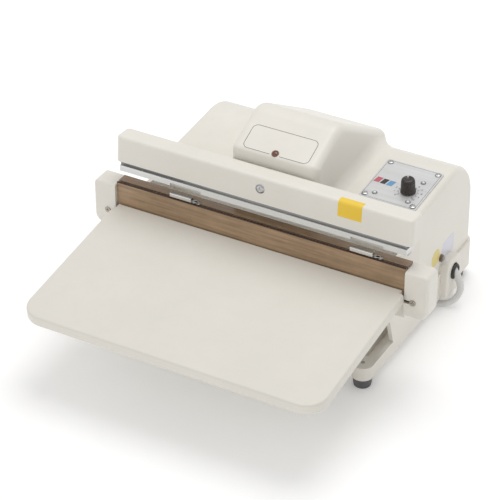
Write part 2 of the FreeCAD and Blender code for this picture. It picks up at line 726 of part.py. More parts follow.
def pivotFrame():
    """The shaft, its two upright brackets, and the cross bar that the return springs pull on."""
    shaft = rod("ShaftRod", "-shaft_half_length", "pivot_rear", "pivot_height", "shaft_radius",
                "2 * shaft_half_length", "x")
    keep(group("PivotShaft", shaft), "pivot_shaft")
    uprights = []
    for side, x in (("Right", bracketStart), ("Left", f"-{bracketStart} - bracket_thickness")):
        plate = box("Upright" + side, x, "pivot_rear - bracket_half_depth", panFloor, "bracket_thickness",
                    "2 * bracket_half_depth", f"pivot_height + 12 - {panFloor}")
        bore = rod("UprightBore" + side, f"{x} - 1", "pivot_rear", "pivot_height",
                   "shaft_radius + shaft_clearance",
                   "bracket_thickness + 2", "x")
        uprights.append(cut("UprightCut" + side, plate, bore))
    keep(group("PivotBrackets", *uprights), "pivot_brackets")
    springTop = "(arm_tail_bottom - spring_behind * sin(open_angle) - 3 * closed_gap)"
    springFoot = f"({springTop} - spring_length)"
    anchor = box("AnchorBar", f"-{bracketStart}", "pivot_rear + spring_behind - anchor_thickness",
                 f"{springFoot} - closed_gap - anchor_thickness", f"2 * {bracketStart}", "2 * anchor_thickness",
                 "anchor_thickness")
    keep(group("SpringAnchor", anchor), "spring_anchor")
    springs = []
    for side, sign in (("Right", ""), ("Left", "-")):
        path = doc.addObject("Part::Helix", "SpringPath" + side)
        bind(path, "Pitch", "(spring_length - 2 * spring_wire) / spring_turns")
        bind(path, "Height", "spring_length - 2 * spring_wire")
        bind(path, "Radius", "spring_radius")
        wire = doc.addObject("Part::Circle", "SpringWire" + side)
        bind(wire, "Radius", "spring_wire")
        wire.Placement = FreeCAD.Placement(FreeCAD.Vector(), FreeCAD.Rotation(FreeCAD.Vector(1, 0, 0), 90))
        bind(wire, "Placement.Base.x", "spring_radius")
        coil = doc.addObject("Part::Sweep", "Spring" + side)
        coil.Sections = [wire]
        coil.Spine = (path, ["Edge1"])
        coil.Solid = True
        coil.Frenet = True
        move(coil, f"{sign}(arm_half_width - arm_wall / 2)", "pivot_rear + spring_behind",
             f"{springFoot} + spring_wire")
        springs.append(coil)
    keep(group("ReturnSprings", *springs), "return_springs")


def magnet():
    """The electromagnet under the armature, on a folded steel bracket."""
    coreBottom = "(armature_bottom - magnet_gap - magnet_height)"
    core = box("MagnetCoreBlock", "-magnet_half_width", "magnet_front", coreBottom, "2 * magnet_half_width",
               "magnet_depth", "magnet_height")
    keep(group("MagnetCore", core), "magnet_core")
    winding = box("WindingBlock", "-magnet_half_width - magnet_coil_wall", "magnet_front - magnet_coil_wall",
                  f"{coreBottom} + (magnet_height - magnet_coil_height) / 2",
                  "2 * magnet_half_width + 2 * magnet_coil_wall", "magnet_depth + 2 * magnet_coil_wall",
                  "magnet_coil_height")
    space = box("WindingSpace", "-magnet_half_width - fit_gap", "magnet_front - fit_gap", coreBottom,
                "2 * magnet_half_width + 2 * fit_gap", "magnet_depth + 2 * fit_gap", "magnet_height")
    keep(cut("MagnetCoil", winding, space), "magnet_coil")
    stand = box("MagnetStandBlock", "-magnet_half_width", "magnet_front", panFloor, "2 * magnet_half_width",
                "magnet_depth", f"{coreBottom} - {panFloor}")
    inside = box("MagnetStandInside", "-magnet_half_width + pan_wall", "magnet_front - 1",
                 f"{panFloor} + pan_wall", "2 * magnet_half_width - 2 * pan_wall", "magnet_depth + 2",
                 f"{coreBottom} - {panFloor} - 2 * pan_wall")
    post = box("SwitchPost", "armature_half_width + 2", "magnet_front", panFloor, "pan_wall", "magnet_depth",
               f"armature_bottom - switch_clearance - {panFloor}")
    toe = box("SwitchPostToe", "magnet_half_width - 1", "magnet_front", panFloor,
              "armature_half_width + 3 - magnet_half_width + 1", "magnet_depth", "pan_wall")
    keep(fuse("MagnetStandWhole", cut("MagnetStand", stand, inside), post, toe), "magnet_bracket")


def transformer():
    """A laminated core with two windows and the winding round its middle limb."""
    window = "(core_width - 3 * core_limb) / 2"
    block = box("CoreBlock", "core_left", "core_front", panFloor, "core_width", "core_depth", "core_height")
    windows = [box(f"CoreWindow{index}", f"core_left + core_limb + {index} * ({window} + core_limb)",
                   "core_front - 1", f"{panFloor} + core_limb", window, "core_depth + 2",
                   "core_height - 2 * core_limb")
               for index in range(2)]
    keep(cut("TransformerCore", block, *windows), "transformer_core")
    play = "5 * fit_gap"
    winding = box("TransformerWinding", f"core_left + core_limb + {play}", "core_front - coil_bulge",
                  f"{panFloor} + core_limb + {play}", f"core_width - 2 * core_limb - 2 * {play}",
                  "core_depth + 2 * coil_bulge", f"core_height - 2 * core_limb - 2 * {play}")
    limb = box("TransformerLimb", f"core_left + core_limb + {window} - {play}", f"core_front - {play}",
               panFloor, f"core_limb + 2 * {play}", f"core_depth + 2 * {play}", "core_height")
    keep(cut("TransformerCoil", winding, limb), "transformer_coil")


def cordNotch(name):
    """The way of the cord through the side of the cover and of the pan."""
    return box(name + "CordNotch", "cover_half_width - cover_wall - 1", "cord_back - 2 * cord_radius",
               "cord_height - 1",
               "cover_wall + cover_setback + 2", "4 * cord_radius", "4 * cord_radius + 2")


def basePan():
    """The open pan that everything stands in."""
    body = newBody("BasePan")
    sketch = outline(body, "PanOutline", "XY_Plane", [
        ("-base_half_width", "base_front"), ("base_half_width", "base_front"),
        ("base_half_width", "base_rear"), ("-base_half_width", "base_rear")])
    block = pad(body, sketch, "base_top - base_bottom")
    rear = number("base_rear")
    rounding(body, block, "base_corner_radius",
             lambda b: near(b.YMin, rear) and near(b.YMax, rear) and near(b.XMin, b.XMax))
    bind(body, "Placement.Base.z", "base_bottom")
    inside = box("PanInside", "-base_half_width + pan_wall", "base_front + pan_wall", panFloor,
                 "2 * base_half_width - 2 * pan_wall", "base_rear - base_front - 2 * pan_wall", "base_top")
    corners = [box("PanCorner" + side, x, "base_rear - base_corner_radius", panFloor, "pan_wall",
                   "base_corner_radius", "base_top")
               for side, x in (("Right", "base_half_width - 2 * pan_wall"),
                               ("Left", "-base_half_width + pan_wall"))]
    cavity = cut("PanCavity", inside, *corners)
    screwHoles = [rod(f"PanHole{index}", f"{sign}(base_half_width - foot_inset)", "foot_rear",
                      "base_bottom - 1",
                      "screw_radius + fit_gap", "pan_wall + 2") for index, sign in enumerate(("", "-"))]
    tabs = []
    for side, x in (("Right", "cover_half_width - cover_wall - tab_thickness"),
                    ("Left", "-cover_half_width + cover_wall")):
        tab = box("CoverTab" + side, x, "tab_front", f"{panFloor} - 1", "tab_thickness", "tab_width",
                  f"tab_top - {panFloor} + 1")
        hole = rod("CoverTabHole" + side, f"{x} - 1", "tab_front + tab_width / 2", "tab_screw_height",
                   "screw_radius", "tab_thickness + 2", "x")
        tabs.append(cut("CoverTabCut" + side, tab, hole))
    cordHole = cordNotch("Pan")
    keep(fuse("PanWhole", cut("PanCut", body, cavity, cordHole, *screwHoles), *tabs), "base_pan")


def legs():
    """Channel legs that reach forward from the pan, and cheeks that carry the bed on them."""
    inner = "(base_half_width - leg_width)"
    slotWidth = "leg_width - 2 * leg_wall"
    for side, sign in (("right", ""), ("left", "-")):
        start = inner if side == "right" else "-base_half_width"
        beam = box("LegBeam" + side, start, "foot_front", "base_bottom", "leg_width",
                   "base_front - foot_front", "leg_height")
        footX = f"{sign}(base_half_width - foot_inset)"
        toe = rod("LegToe" + side, footX, "foot_front", "base_bottom", "foot_inset", "leg_height")
        slotX = f"{inner} + leg_wall" if side == "right" else "-base_half_width + leg_wall"
        slot = box("LegSlot" + side, slotX, "foot_front + foot_inset", "base_bottom + leg_wall", slotWidth,
                   "base_front - foot_front - foot_inset - leg_wall", "leg_height")
        hole = rod("LegHole" + side, footX, "foot_front", "base_bottom - 1", "screw_radius + fit_gap",
                   "leg_height + 2")
        keep(cut("Leg" + side, fuse("LegWhole" + side, beam, toe), slot, hole), f"front_leg_{side}")
        cheekX = "base_half_width - cheek_thickness" if side == "right" else "-base_half_width"
        cheek = newBody("Cheek" + side.title())
        sketch = outline(cheek, "CheekSide" + side.title(), "YZ_Plane", [
            ("base_front - fit_gap", "base_bottom + leg_height"), ("base_front - fit_gap",
                                                                   "base_top - fit_gap"),
            ("cover_front - fit_gap", "base_top - fit_gap"), ("cover_front - fit_gap", "cheek_top"),
            (f"{bedRear}", "cheek_top"), (f"{bedRear}", "bed_bottom"), ("bed_front + 6", "bed_bottom"),
            ("bed_front + 6", "bed_bottom - 8"), ("foot_front + foot_inset * 4", "base_bottom + leg_height")])
        pad(cheek, sketch, "cheek_thickness")
        bind(cheek, "Placement.Base.x", cheekX)
        keep(cheek, f"side_cheek_{side}")


def feet():
    rubbers, screws = [], []
    for index, (sign, y, top) in enumerate((("", "foot_front", "leg_height"),
                                            ("-", "foot_front", "leg_height"),
                                            ("", "foot_rear", "pan_wall"), ("-", "foot_rear", "pan_wall"))):
        x = f"{sign}(base_half_width - foot_inset)"
        rubber = cone(f"Rubber{index}", x, y, "0", "foot_radius - foot_taper", "foot_radius", "base_bottom")
        recess = rod(f"FootRecess{index}", x, y, "-1", "screw_head_radius + fit_gap", "base_bottom / 2 + 1")
        bore = rod(f"FootBore{index}", x, y, "0", "screw_radius + fit_gap", "base_bottom + 1")
        rubbers.append(cut(f"Foot{index}", rubber, recess, bore))
        head = rod(f"FootScrewHead{index}", x, y, "base_bottom / 2 - screw_head_height", "screw_head_radius",
                   "screw_head_height")
        shank = rod(f"FootScrewShank{index}", x, y, "base_bottom / 2 - 1", "screw_radius",
                    f"base_bottom / 2 + 1 + {top}")
        screws.append(fuse(f"FootScrew{index}", head, shank))
    keep(group("RubberFeet", *rubbers), "rubber_feet")
    keep(group("FootScrews", *screws), "foot_screws")


def coverSolid(name, inset):
    """The cover's block with its sloping top and rounded rear, made smaller all round by the inset."""
    body = newBody(name)
    front, rear = f"(cover_front + {inset})", f"(cover_rear - {inset})"
    height = f"(cover_front_height - {inset} / cos(cover_slope))"
    bottom = "base_top" if inset == "0" else "base_top - 1"
    sketch = outline(body, name + "Side", "YZ_Plane", [
        (front, bottom), (rear, bottom), (rear, f"{height} + ({rear} - cover_front) * tan(cover_slope)"),
        (front, f"{height} + ({front} - cover_front) * tan(cover_slope)")])
    block = pad(body, sketch, f"2 * (cover_half_width - {inset})", middle=True)
    back, low = number(rear), number("base_top") + 1
    shoulder = rounding(body, block, f"cover_rear_radius - {inset}",
                        lambda b: near(b.YMin, back) and near(b.YMax,
                                                              back) and near(b.ZMin, b.ZMax) and b.ZMin > low)
    if inset == "0":
        side, ahead = number("cover_half_width"), number("cover_front") + 0.01
        rounding(body, shoulder, "cover_edge_radius",
                 lambda b: near(abs(b.XMin), side) and near(b.XMin,
                                                            b.XMax) and b.YMax > ahead and b.ZMax > low)
    return body


def humpSolid(name, inset):
    """The hump over the lever arm, which reaches forward as a visor, made smaller by the inset."""
    body = newBody(name)
    rise = "atan((hump_ridge_height - hump_lip_top) / (hump_ridge - hump_front))"
    fall = "atan((hump_ridge_height - hump_rear_height) / (hump_rear - hump_ridge))"
    front, rear = f"(hump_front + {inset})", f"(hump_rear - {inset})"
    bottom = "hump_skirt" if inset == "0" else "hump_skirt - 30"
    sketch = outline(body, name + "Side", "YZ_Plane", [
        (front, bottom), (front, f"hump_lip_top + {inset} * (tan({rise}) - 1 / cos({rise}))"),
        ("hump_ridge", f"hump_ridge_height - {inset} / cos(({rise} + {fall}) / 2)"),
        (rear, f"hump_rear_height - {inset} * (1 / cos({fall}) - tan({fall}))"),
        (rear, "hump_skirt - cover_rear_radius / 2")])
    block = pad(body, sketch, f"2 * (hump_half_width - {inset})", middle=True)
    ridge, back, low = number("hump_ridge"), number(rear), number("hump_skirt")
    crest = rounding(body, block, f"hump_ridge_radius - {inset}",
                     lambda b: near(b.YMin, ridge) and near(b.YMax, ridge) and near(b.ZMin, b.ZMax))
    heel = rounding(body, crest, f"hump_rear_radius - {inset}",
                    lambda b: near(b.YMin, back) and near(b.YMax,
                                                          back) and near(b.ZMin, b.ZMax) and b.ZMin > low)
    if inset == "0":
        side, nose = number("hump_half_width"), number("hump_front")
        brow = rounding(body, heel, "hump_nose_radius",
                        lambda b: near(b.YMin, nose) and near(b.YMax,
                                                              nose) and near(b.ZMin,
                                                                  b.ZMax) and b.ZMax > low + 1)
        rounding(body, brow, "hump_edge_radius",
                 lambda b: near(abs(b.XMin), side) and near(b.XMin, b.XMax) and b.ZMax > low)
    return body


def onSlope(solid):
    """Turn a solid made flat onto the sloping top of the cover."""
    turn(solid, (1, 0, 0), "cover_slope")
    bind(solid, "Placement.Base.y", "cover_front")
    bind(solid, "Placement.Base.z", "cover_front_height")
    return solid


lampSlope = "atan((hump_ridge_height - hump_lip_top) / (hump_ridge - hump_front))"
screwSpots = list(itertools.product(("panel_left + panel_inset", "panel_left + panel_width - panel_inset"),
                                    ("panel_front + panel_inset", "panel_front + panel_depth - panel_inset")))
ledSpots = [("led_left", "led_front"), ("led_right", "led_front"), ("led_right", "led_back")]


def flared(whole):
    """A concave blend where the hump meets the cover."""
    doc.recompute()
    half, front, low = number("hump_half_width"), number("cover_front"), number("base_top")
    chosen = []
    for index, edge in enumerate(whole.Shape.Edges):
        around = edge.BoundBox
        outside = max(abs(around.XMin), abs(around.XMax)) > half + 0.5
        if outside or around.YMin < front - 0.5 or around.ZMin < low:
            continue
        middle = edge.valueAt((edge.FirstParameter + edge.LastParameter) / 2)
        beside = [face for face in whole.Shape.Faces if any(other.isSame(edge) for other in face.Edges)]
        normals = [face.normalAt(*face.Surface.parameter(middle)) for face in beside]
        crossing = near(around.YMax, front) and near(around.ZMin, around.ZMax)
        if len(normals) == 2 and normals[0].getAngle(normals[1]) > 0.15 and not crossing:
            chosen.append(index + 1)
    blend = doc.addObject("Part::Fillet", "CoverOutside")
    blend.Base = whole
    radius = number("hump_flare_radius")
    blend.Edges = [(index, radius, radius) for index in chosen]
    doc.recompute()
    return blend


def mainCover():
    outer = flared(fuse("CoverBlocks", coverSolid("CoverBlock", "0"), humpSolid("HumpBlock", "0")))
    inner = fuse("CoverInside", coverSolid("CoverSpace", "cover_wall"), humpSolid("HumpSpace", "cover_wall"))
    mouth = box("VisorMouth", "-hump_half_width + cover_wall + 1", "hump_front - 1", "hump_skirt - 1",
                "2 * hump_half_width - 2 * cover_wall - 2", "cover_wall + 2",
                "hump_lip_bottom - hump_skirt + 1")
    window = box("ArmWindow", "-hump_half_width + 2 * cover_wall", "cover_front - 1", "hump_skirt - 9",
                 "2 * hump_half_width - 4 * cover_wall", "cover_wall + 2", "20")
    drills = [rod(f"PanelScrewHole{index}", x, y, "-2 * cover_wall", "screw_radius + fit_gap",
                  "3 * cover_wall")
              for index, (x, y) in enumerate(screwSpots)]
    drills += [rod(f"LedHole{index}", x, y, "-2 * cover_wall", "led_radius + fit_gap", "3 * cover_wall")
               for index, (x, y) in enumerate(ledSpots)]
    drills.append(rod("TimerHole", "knob_x", "knob_back", "-2 * cover_wall",
                      "timer_shaft_radius + 3 * closed_gap", "3 * cover_wall"))
    panelHoles = onSlope(group("PanelHoles", *drills))
    lampHole = rod("LampHole", "0", "lamp_back", "-3 * cover_wall", "lamp_radius + fit_gap", "4 * cover_wall")
    lampTool = group("LampTool", lampHole)
    turn(lampTool, (1, 0, 0), lampSlope)
    bind(lampTool, "Placement.Base.y", "hump_front")
    bind(lampTool, "Placement.Base.z", "hump_lip_top")
    collarHole = rod("CollarHole", "cover_half_width - cover_wall - 1", "button_back", "button_height",
                     "button_radius + shaft_clearance + 0.8", "cover_wall + 2", "x")
    sideHoles = [rod("CoverScrewHole" + side, x, "tab_front + tab_width / 2", "tab_screw_height",
                     "screw_radius + fit_gap",
                     "cover_wall + 2", "x") for side, x in (("Right", "cover_half_width - cover_wall - 1"),
                                                            ("Left", "-cover_half_width - 1"))]
    keep(cut("CoverShell", outer, inner, mouth, window, panelHoles, lampTool, collarHole, cordNotch("Cover"),
             *sideHoles), "main_cover")
    lens = rod("LampLens", "0", "lamp_back", "-cover_wall - 3", "lamp_radius", "cover_wall + 3.7")
    keepTurned(group("HumpLamp", lens), "hump_lamp", (1, 0, 0), lampSlope, "hump_front", "hump_lip_top")
    for side, sign in (("Right", 1), ("Left", -1)):
        headX = "cover_half_width" if sign > 0 else "-cover_half_width - screw_head_height"
        shankX = ("cover_half_width - cover_wall - tab_thickness - 1" if sign > 0 else "-cover_half_width - 1")
        sideScrews.append(fuse("CoverScrew" + side,
                           rod("CoverScrewHead" + side, headX, "tab_front + tab_width / 2",
                               "tab_screw_height",
                               "screw_head_radius", "screw_head_height", "x"),
                           rod("CoverScrewShank" + side, shankX, "tab_front + tab_width / 2",
                               "tab_screw_height",
                               "screw_radius", "cover_wall + tab_thickness + 2", "x")))
    keep(group("SideScrews", *sideScrews), "side_screws")


def controlPanel():
    body = newBody("ControlPanel")
    right, back = "(panel_left + panel_width)", "(panel_front + panel_depth)"
    sketch = outline(body, "PanelOutline", "XY_Plane", [
        ("panel_left", "panel_front"), (right, "panel_front"), (right, back), ("panel_left", back)])
    plate = pad(body, sketch, "panel_thickness")
    rounding(body, plate, "panel_corner_radius",
             lambda b: near(b.XMin, b.XMax) and near(b.YMin, b.YMax))
    drills = [rod(f"PlateScrewHole{index}", x, y, "-1", "screw_radius + fit_gap", "panel_thickness + 2")
              for index, (x, y) in enumerate(screwSpots)]
    drills += [rod(f"PlateLedHole{index}", x, y, "-1", "led_radius + fit_gap", "panel_thickness + 2")
               for index, (x, y) in enumerate(ledSpots)]
    drills.append(rod("PlateTimerHole", "knob_x", "knob_back", "-1", "timer_shaft_radius + 3 * closed_gap",
                      "panel_thickness + 2"))
    keepOnSlope(cut("PanelCut", body, *drills), "control_panel")
    screws = []
    for index, (x, y) in enumerate(screwSpots):
        head = cone(f"PanelScrewHead{index}", x, y, "panel_thickness", "panel_screw_radius",
                    "panel_screw_radius * 0.75", "panel_screw_radius / 2")
        shank = rod(f"PanelScrewShank{index}", x, y, "-cover_wall - 1", "screw_radius",
                    "cover_wall + panel_thickness + 2")
        screws.append(fuse(f"PanelScrew{index}", head, shank))
    keepOnSlope(group("PanelScrews", *screws), "panel_screws")
    lenses = [rod(f"Led{index}", x, y, "-cover_wall - 2", "led_radius", "cover_wall + panel_thickness + 2.8")
              for index, (x, y) in enumerate(ledSpots)]
    keepOnSlope(group("IndicatorLenses", *lenses), "indicator_lenses")
    bottom = "panel_thickness + knob_lift"
    skirt = rod("KnobSkirt", "knob_x", "knob_back", bottom, "knob_radius", "knob_skirt_height")
    grip = cone("KnobGrip", "knob_x", "knob_back", f"{bottom} + knob_skirt_height - 0.01",
                "knob_top_radius + 0.6",
                "knob_top_radius", "knob_height - knob_skirt_height")
    bore = rod("KnobBore", "knob_x", "knob_back", f"{bottom} - 1", "timer_shaft_radius",
               "knob_height / 2 + 1")
    keepOnSlope(cut("KnobCut", fuse("KnobWhole", skirt, grip), bore), "timer_knob")
    shaft = rod("TimerShaft", "knob_x", "knob_back", "-cover_wall - timer_depth / 2", "timer_shaft_radius",
                f"cover_wall + timer_depth / 2 + {bottom} + knob_height / 2")
    keepOnSlope(group("TimerShaftGroup", shaft), "timer_shaft")
    pot = rod("TimerPot", "knob_x", "knob_back", "-cover_wall - timer_depth", "timer_radius", "timer_depth")
    well = rod("TimerWell", "knob_x", "knob_back", "-cover_wall - timer_depth / 2 - closed_gap",
               "timer_shaft_radius + shaft_clearance", "timer_depth")
    keepOnSlope(cut("TimerPotCut", pot, well), "timer_pot")
    spacers = [rod(f"Spacer{index}", x, y, "-cover_wall - board_drop + board_thickness", "screw_radius + 1.5",
                   "board_drop - board_thickness") for index, (x, y) in enumerate(screwSpots)]
    bores = [rod(f"SpacerBore{index}", x, y, "-cover_wall - screw_head_height", "screw_radius + fit_gap",
                 "board_drop")
             for index, (x, y) in enumerate(screwSpots)]
    keepOnSlope(cut("BoardSpacers", group("SpacerGroup", *spacers), *bores), "board_spacers")
    face = "-cover_wall - board_drop + board_thickness"
    board = box("TimerBoardBlock", "panel_left", "panel_front", "-cover_wall - board_drop", "panel_width",
                "panel_depth",
                "board_thickness")
    chip = box("BoardChip", "panel_left + chip_width / 2", "panel_front + panel_depth / 2", face,
               "chip_width", "chip_width",
               "chip_height")
    tall = rod("BoardCapacitor", "panel_left + panel_width - 3 * capacitor_radius",
               "panel_front + panel_depth - 3 * capacitor_radius",
               face, "capacitor_radius", "capacitor_height")
    keepOnSlope(fuse("TimerBoardWhole", board, chip, tall), "timer_board")


def switches():
    stand = "(armature_half_width + 2)"
    top = "(armature_bottom - switch_clearance)"
    body = box("SwitchBlock", f"{stand} - switch_width", "magnet_front + 4", f"{top} - switch_height",
               "switch_width",
               "magnet_depth - 8", "switch_height")
    bore = rod("SwitchBore", f"{stand} - switch_width / 2 - 2", "magnet_front + magnet_depth / 2",
               f"{top} - plunger_length - plunger_travel", "plunger_radius + shaft_clearance",
               "plunger_length + plunger_travel + 1")
    keep(cut("SwitchCut", body, bore), "micro_switch")
    plunger = rod("Plunger", f"{stand} - switch_width / 2 - 2", "magnet_front + magnet_depth / 2",
                  f"armature_bottom + plunger_travel - plunger_length", "plunger_radius", "plunger_length")
    keep(group("SwitchPlunger", plunger), "switch_plunger")
    outside = "cover_half_width"
    collar = rod("CollarRing", outside, "button_back", "button_height", "button_collar_radius",
                 "button_collar_length", "x")
    neck = rod("CollarNeck", f"{outside} - cover_wall", "button_back", "button_height",
               "button_radius + shaft_clearance + 0.7",
               "cover_wall + 1", "x")
    hole = rod("CollarBore", f"{outside} - cover_wall - 1", "button_back", "button_height",
               "button_radius + shaft_clearance",
               "cover_wall + button_collar_length + 2", "x")
    keep(cut("CollarCut", fuse("CollarWhole", collar, neck), hole), "button_collar")
    inside = f"({outside} - cover_wall)"
    housing = box("BreakerBlock", f"{inside} - breaker_depth", "button_back - breaker_width / 2",
                  "button_height - breaker_width / 2",
                  "breaker_depth", "breaker_width", "breaker_width")
    well = rod("BreakerWell", f"{inside} - breaker_depth / 2", "button_back", "button_height",
               "button_radius + shaft_clearance",
               "breaker_depth", "x")
    keep(cut("BreakerCut", housing, well), "reset_breaker")
    start = f"{inside} - breaker_depth / 2 + button_travel + closed_gap"
    button = rod("ResetButton", start, "button_back", "button_height", "button_radius",
                 f"breaker_depth / 2 - closed_gap + cover_wall + button_collar_length + closed_gap", "x")
    keep(group("ResetButtonGroup", button), "reset_button")


def cordHousing():
    body = newBody("CordHousing")
    low, high = "(housing_middle - housing_width / 2)", "(housing_middle + housing_width / 2)"
    sketch = outline(body, "HousingSide", "YZ_Plane", [
        (low, "housing_bottom"), (high, "housing_bottom"), (high, "housing_top"), (low, "housing_top")])
    block = pad(body, sketch, "housing_reach - cover_half_width")
    bind(body, "Placement.Base.x", "cover_half_width")
    top, reach = number("housing_top"), number("housing_reach - cover_half_width")
    crown = rounding(body, block, "housing_corner_radius",
                     lambda b: near(b.YMin, b.YMax) and near(b.ZMin, top) and near(b.ZMax, top))
    rounding(body, crown, "housing_edge_radius", lambda b: near(b.XMin, reach) and near(b.XMax,
        reach) and b.ZMax > number("housing_bottom") + 1)
    step = box("HousingStep", "cover_half_width - 1", f"{low} - 1", "housing_bottom - 1",
               "base_half_width - cover_half_width + 1",
               "housing_width + 2", "base_top - housing_bottom + 1")
    hole = rod("HousingHole", "cover_half_width - 1", "cord_back", "cord_height + 1.5",
               "2 * cord_radius + 1.2",
               "housing_reach", "x")
    space = box("HousingSpace", "base_half_width - 1", f"{low} + pan_wall", "housing_bottom + pan_wall",
                "housing_reach - base_half_width - pan_wall + 1", "housing_width - 2 * pan_wall",
                "base_top - housing_bottom - pan_wall - 1")
    keep(cut("HousingCut", body, step, space, hole, cordNotch("Housing")), "cord_housing")
    flange = rod("GrommetFlange", "housing_reach", "cord_back", "cord_height", "grommet_radius",
                 "grommet_length / 2", "x")
    nose = cone("GrommetNose", "housing_reach + grommet_length / 2 - 0.01", "cord_back", "cord_height",
                "grommet_radius * 0.92",
                "cord_radius + grommet_sleeve + 1", "grommet_length / 2", "x")
    bore = rod("GrommetBore", "base_half_width - 1", "cord_back", "cord_height",
               "cord_radius + grommet_sleeve", "housing_reach", "x")
    keep(cut("GrommetCut", fuse("GrommetWhole", flange, nose), bore), "cord_grommet")
    block = box("TerminalBlockBase", "terminal_block_x", "base_rear - pan_wall - terminal_block_back",
                panFloor, "36", "16", "10")
    ridge = box("TerminalBlockRidge", "terminal_block_x", "base_rear - pan_wall - terminal_block_back + 5",
                f"{panFloor} + 9", "36", "6", "6")
    keep(fuse("TerminalBlock", block, ridge), "terminal_block")


def roundedRoute(points):
    """Straight runs joined by tangent arcs. Each arc takes 0.45 of the shorter run at its corner."""
    edges, radii = [], []
    last = points[0]
    for before, corner, after in zip(points, points[1:], points[2:]):
        back, ahead = before - corner, after - corner
        reach = 0.45 * min(back.Length, ahead.Length)
        start = corner + back.normalize() * reach
        end = corner + ahead.normalize() * reach
        halfTurn = (math.pi - back.getAngle(ahead)) / 2
        radius = reach / math.tan(halfTurn)
        inward = (back + ahead).normalize()
        middle = corner + inward * (math.hypot(radius, reach) - radius)
        edges.append(Part.LineSegment(last, start).toShape())
        edges.append(Part.Arc(start, middle, end).toShape())
        radii.append(round(radius, 1))
        last = end
    edges.append(Part.LineSegment(last, points[-1]).toShape())
    return Part.Wire(edges), radii


def powerCord():
    """The cord runs out of the grommet, down and under the base to a tied coil behind, with its plug."""
    coilY = "base_rear + coil_behind"
    rest = "cord_radius + 1"
    leadX = "coil_x + coil_radius"
    leadStart = f"{coilY} - coil_radius"
    spots = [("base_half_width - 4.3", "cord_back + 1.5", "cord_height + 8.5"),
             ("base_half_width + 19.8", "cord_back - 1", "cord_height - 6.9"),
             ("base_half_width + 12.8", "cord_back - 9", rest),
             ("base_half_width - 17.7", "cord_back - 19", rest),
             ("base_half_width - 46.7", "cord_back - 16", rest),
             ("base_half_width - 72.7", "cord_back + 6", rest),
             (f"{leadX} + 26", f"{leadStart} - 50", rest),
             (leadX, f"{leadStart} - 28.5", rest),
             (leadX, leadStart, rest)]
    points = [FreeCAD.Vector(*[number(text) for text in spot]) for spot in spots]
    wire, radii = roundedRoute(points)
    print("cord arc radii", radii)
    route = doc.addObject("Part::Feature", "CordRoute")
    route.Shape = wire
    section = doc.addObject("Part::Circle", "CordSection")
    bind(section, "Radius", "cord_radius")
    start = points[1] - points[0]
    section.Placement = FreeCAD.Placement(points[0], FreeCAD.Rotation(FreeCAD.Vector(0, 0, 1), start))
    cord = doc.addObject("Part::Sweep", "CordSweep")
    cord.Sections = [section]
    cord.Spine = (route, [f"Edge{index + 1}" for index in range(len(wire.Edges))])
    cord.Solid = True
    cord.Frenet = False
    keep(group("PowerCord", cord), "power_cord")
    doc.recompute()
    print("cord volume", round(cord.Shape.Volume), "section times length",
          round(math.pi * number("cord_radius") ** 2 * wire.Length))
    ring = doc.addObject("Part::Torus", "CoilRing")
    bind(ring, "Radius1", "coil_radius")
    bind(ring, "Radius2", "coil_thickness")
    move(ring, "coil_x", coilY, "coil_thickness")
    lead = rod("CoilLead", leadX, leadStart, rest, "cord_radius", "coil_radius", "y")
    plugY = f"({coilY} + coil_radius)"
    plugEnd = "coil_x - coil_radius - coil_lead"
    tail = rod("CoilTail", plugEnd, plugY, "plug_height / 2", "cord_radius", "coil_radius + coil_lead", "x")
    keep(fuse("CoilWhole", ring, lead, tail), "cord_coil")
    relief = cone("PlugRelief", f"{plugEnd} - plug_relief", plugY, "plug_height / 2", "plug_height / 2 - 1",
                  "cord_radius + 0.8",
                  "plug_relief", "x")
    block = box("PlugBlock", f"{plugEnd} - plug_relief - plug_length", f"{plugY} - plug_width / 2", "0",
                "plug_length", "plug_width", "plug_height")
    keep(fuse("PlugWhole", relief, block), "plug_body")
    pins = [box(f"PlugPin{index}", f"{plugEnd} - plug_relief - plug_length - pin_length",
                f"{plugY} + {sign}pin_spacing / 2 - pin_thickness / 2", "plug_height / 2 - pin_width / 2",
                "pin_length", "pin_thickness", "pin_width")
            for index, sign in enumerate(("-", "+"))]
    keep(group("PlugPins", *pins), "plug_pins")


workTable()
tableBrackets()
endBlocks()
heatedBed()
bedHardware()
pressBar()
leverArm()
pivotFrame()
magnet()
transformer()
basePan()
legs()
feet()
mainCover()
controlPanel()
switches()
cordHousing()
powerCord()
doc.recompute()

for thing in doc.Objects:
    bad = {"Invalid", "Error"}.intersection(thing.State)
    if bad:
        raise RuntimeError(f"{thing.Name} is {bad}")
    solid = getattr(thing, "Shape", None)
    if solid is None or thing.TypeId.startswith(("App::", "Sketcher::")):
        continue
    if solid.isNull() or not solid.isValid():
        raise RuntimeError(f"{thing.Name} has a bad shape")

whole = FreeCAD.BoundBox()
for node in nodes:
    node.Shape.exportStep(f"parts/{node.Label}.step")
    whole.add(node.Shape.BoundBox)
    print(node.Label, len(node.Shape.Solids), round(node.Shape.Volume))
print(len(nodes), "sub-parts", whole)
print("everything is moved along Y by", round(number(centreShift), 4))
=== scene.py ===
import bpy
import bmesh
import json
import math
from mathutils import Matrix, Vector


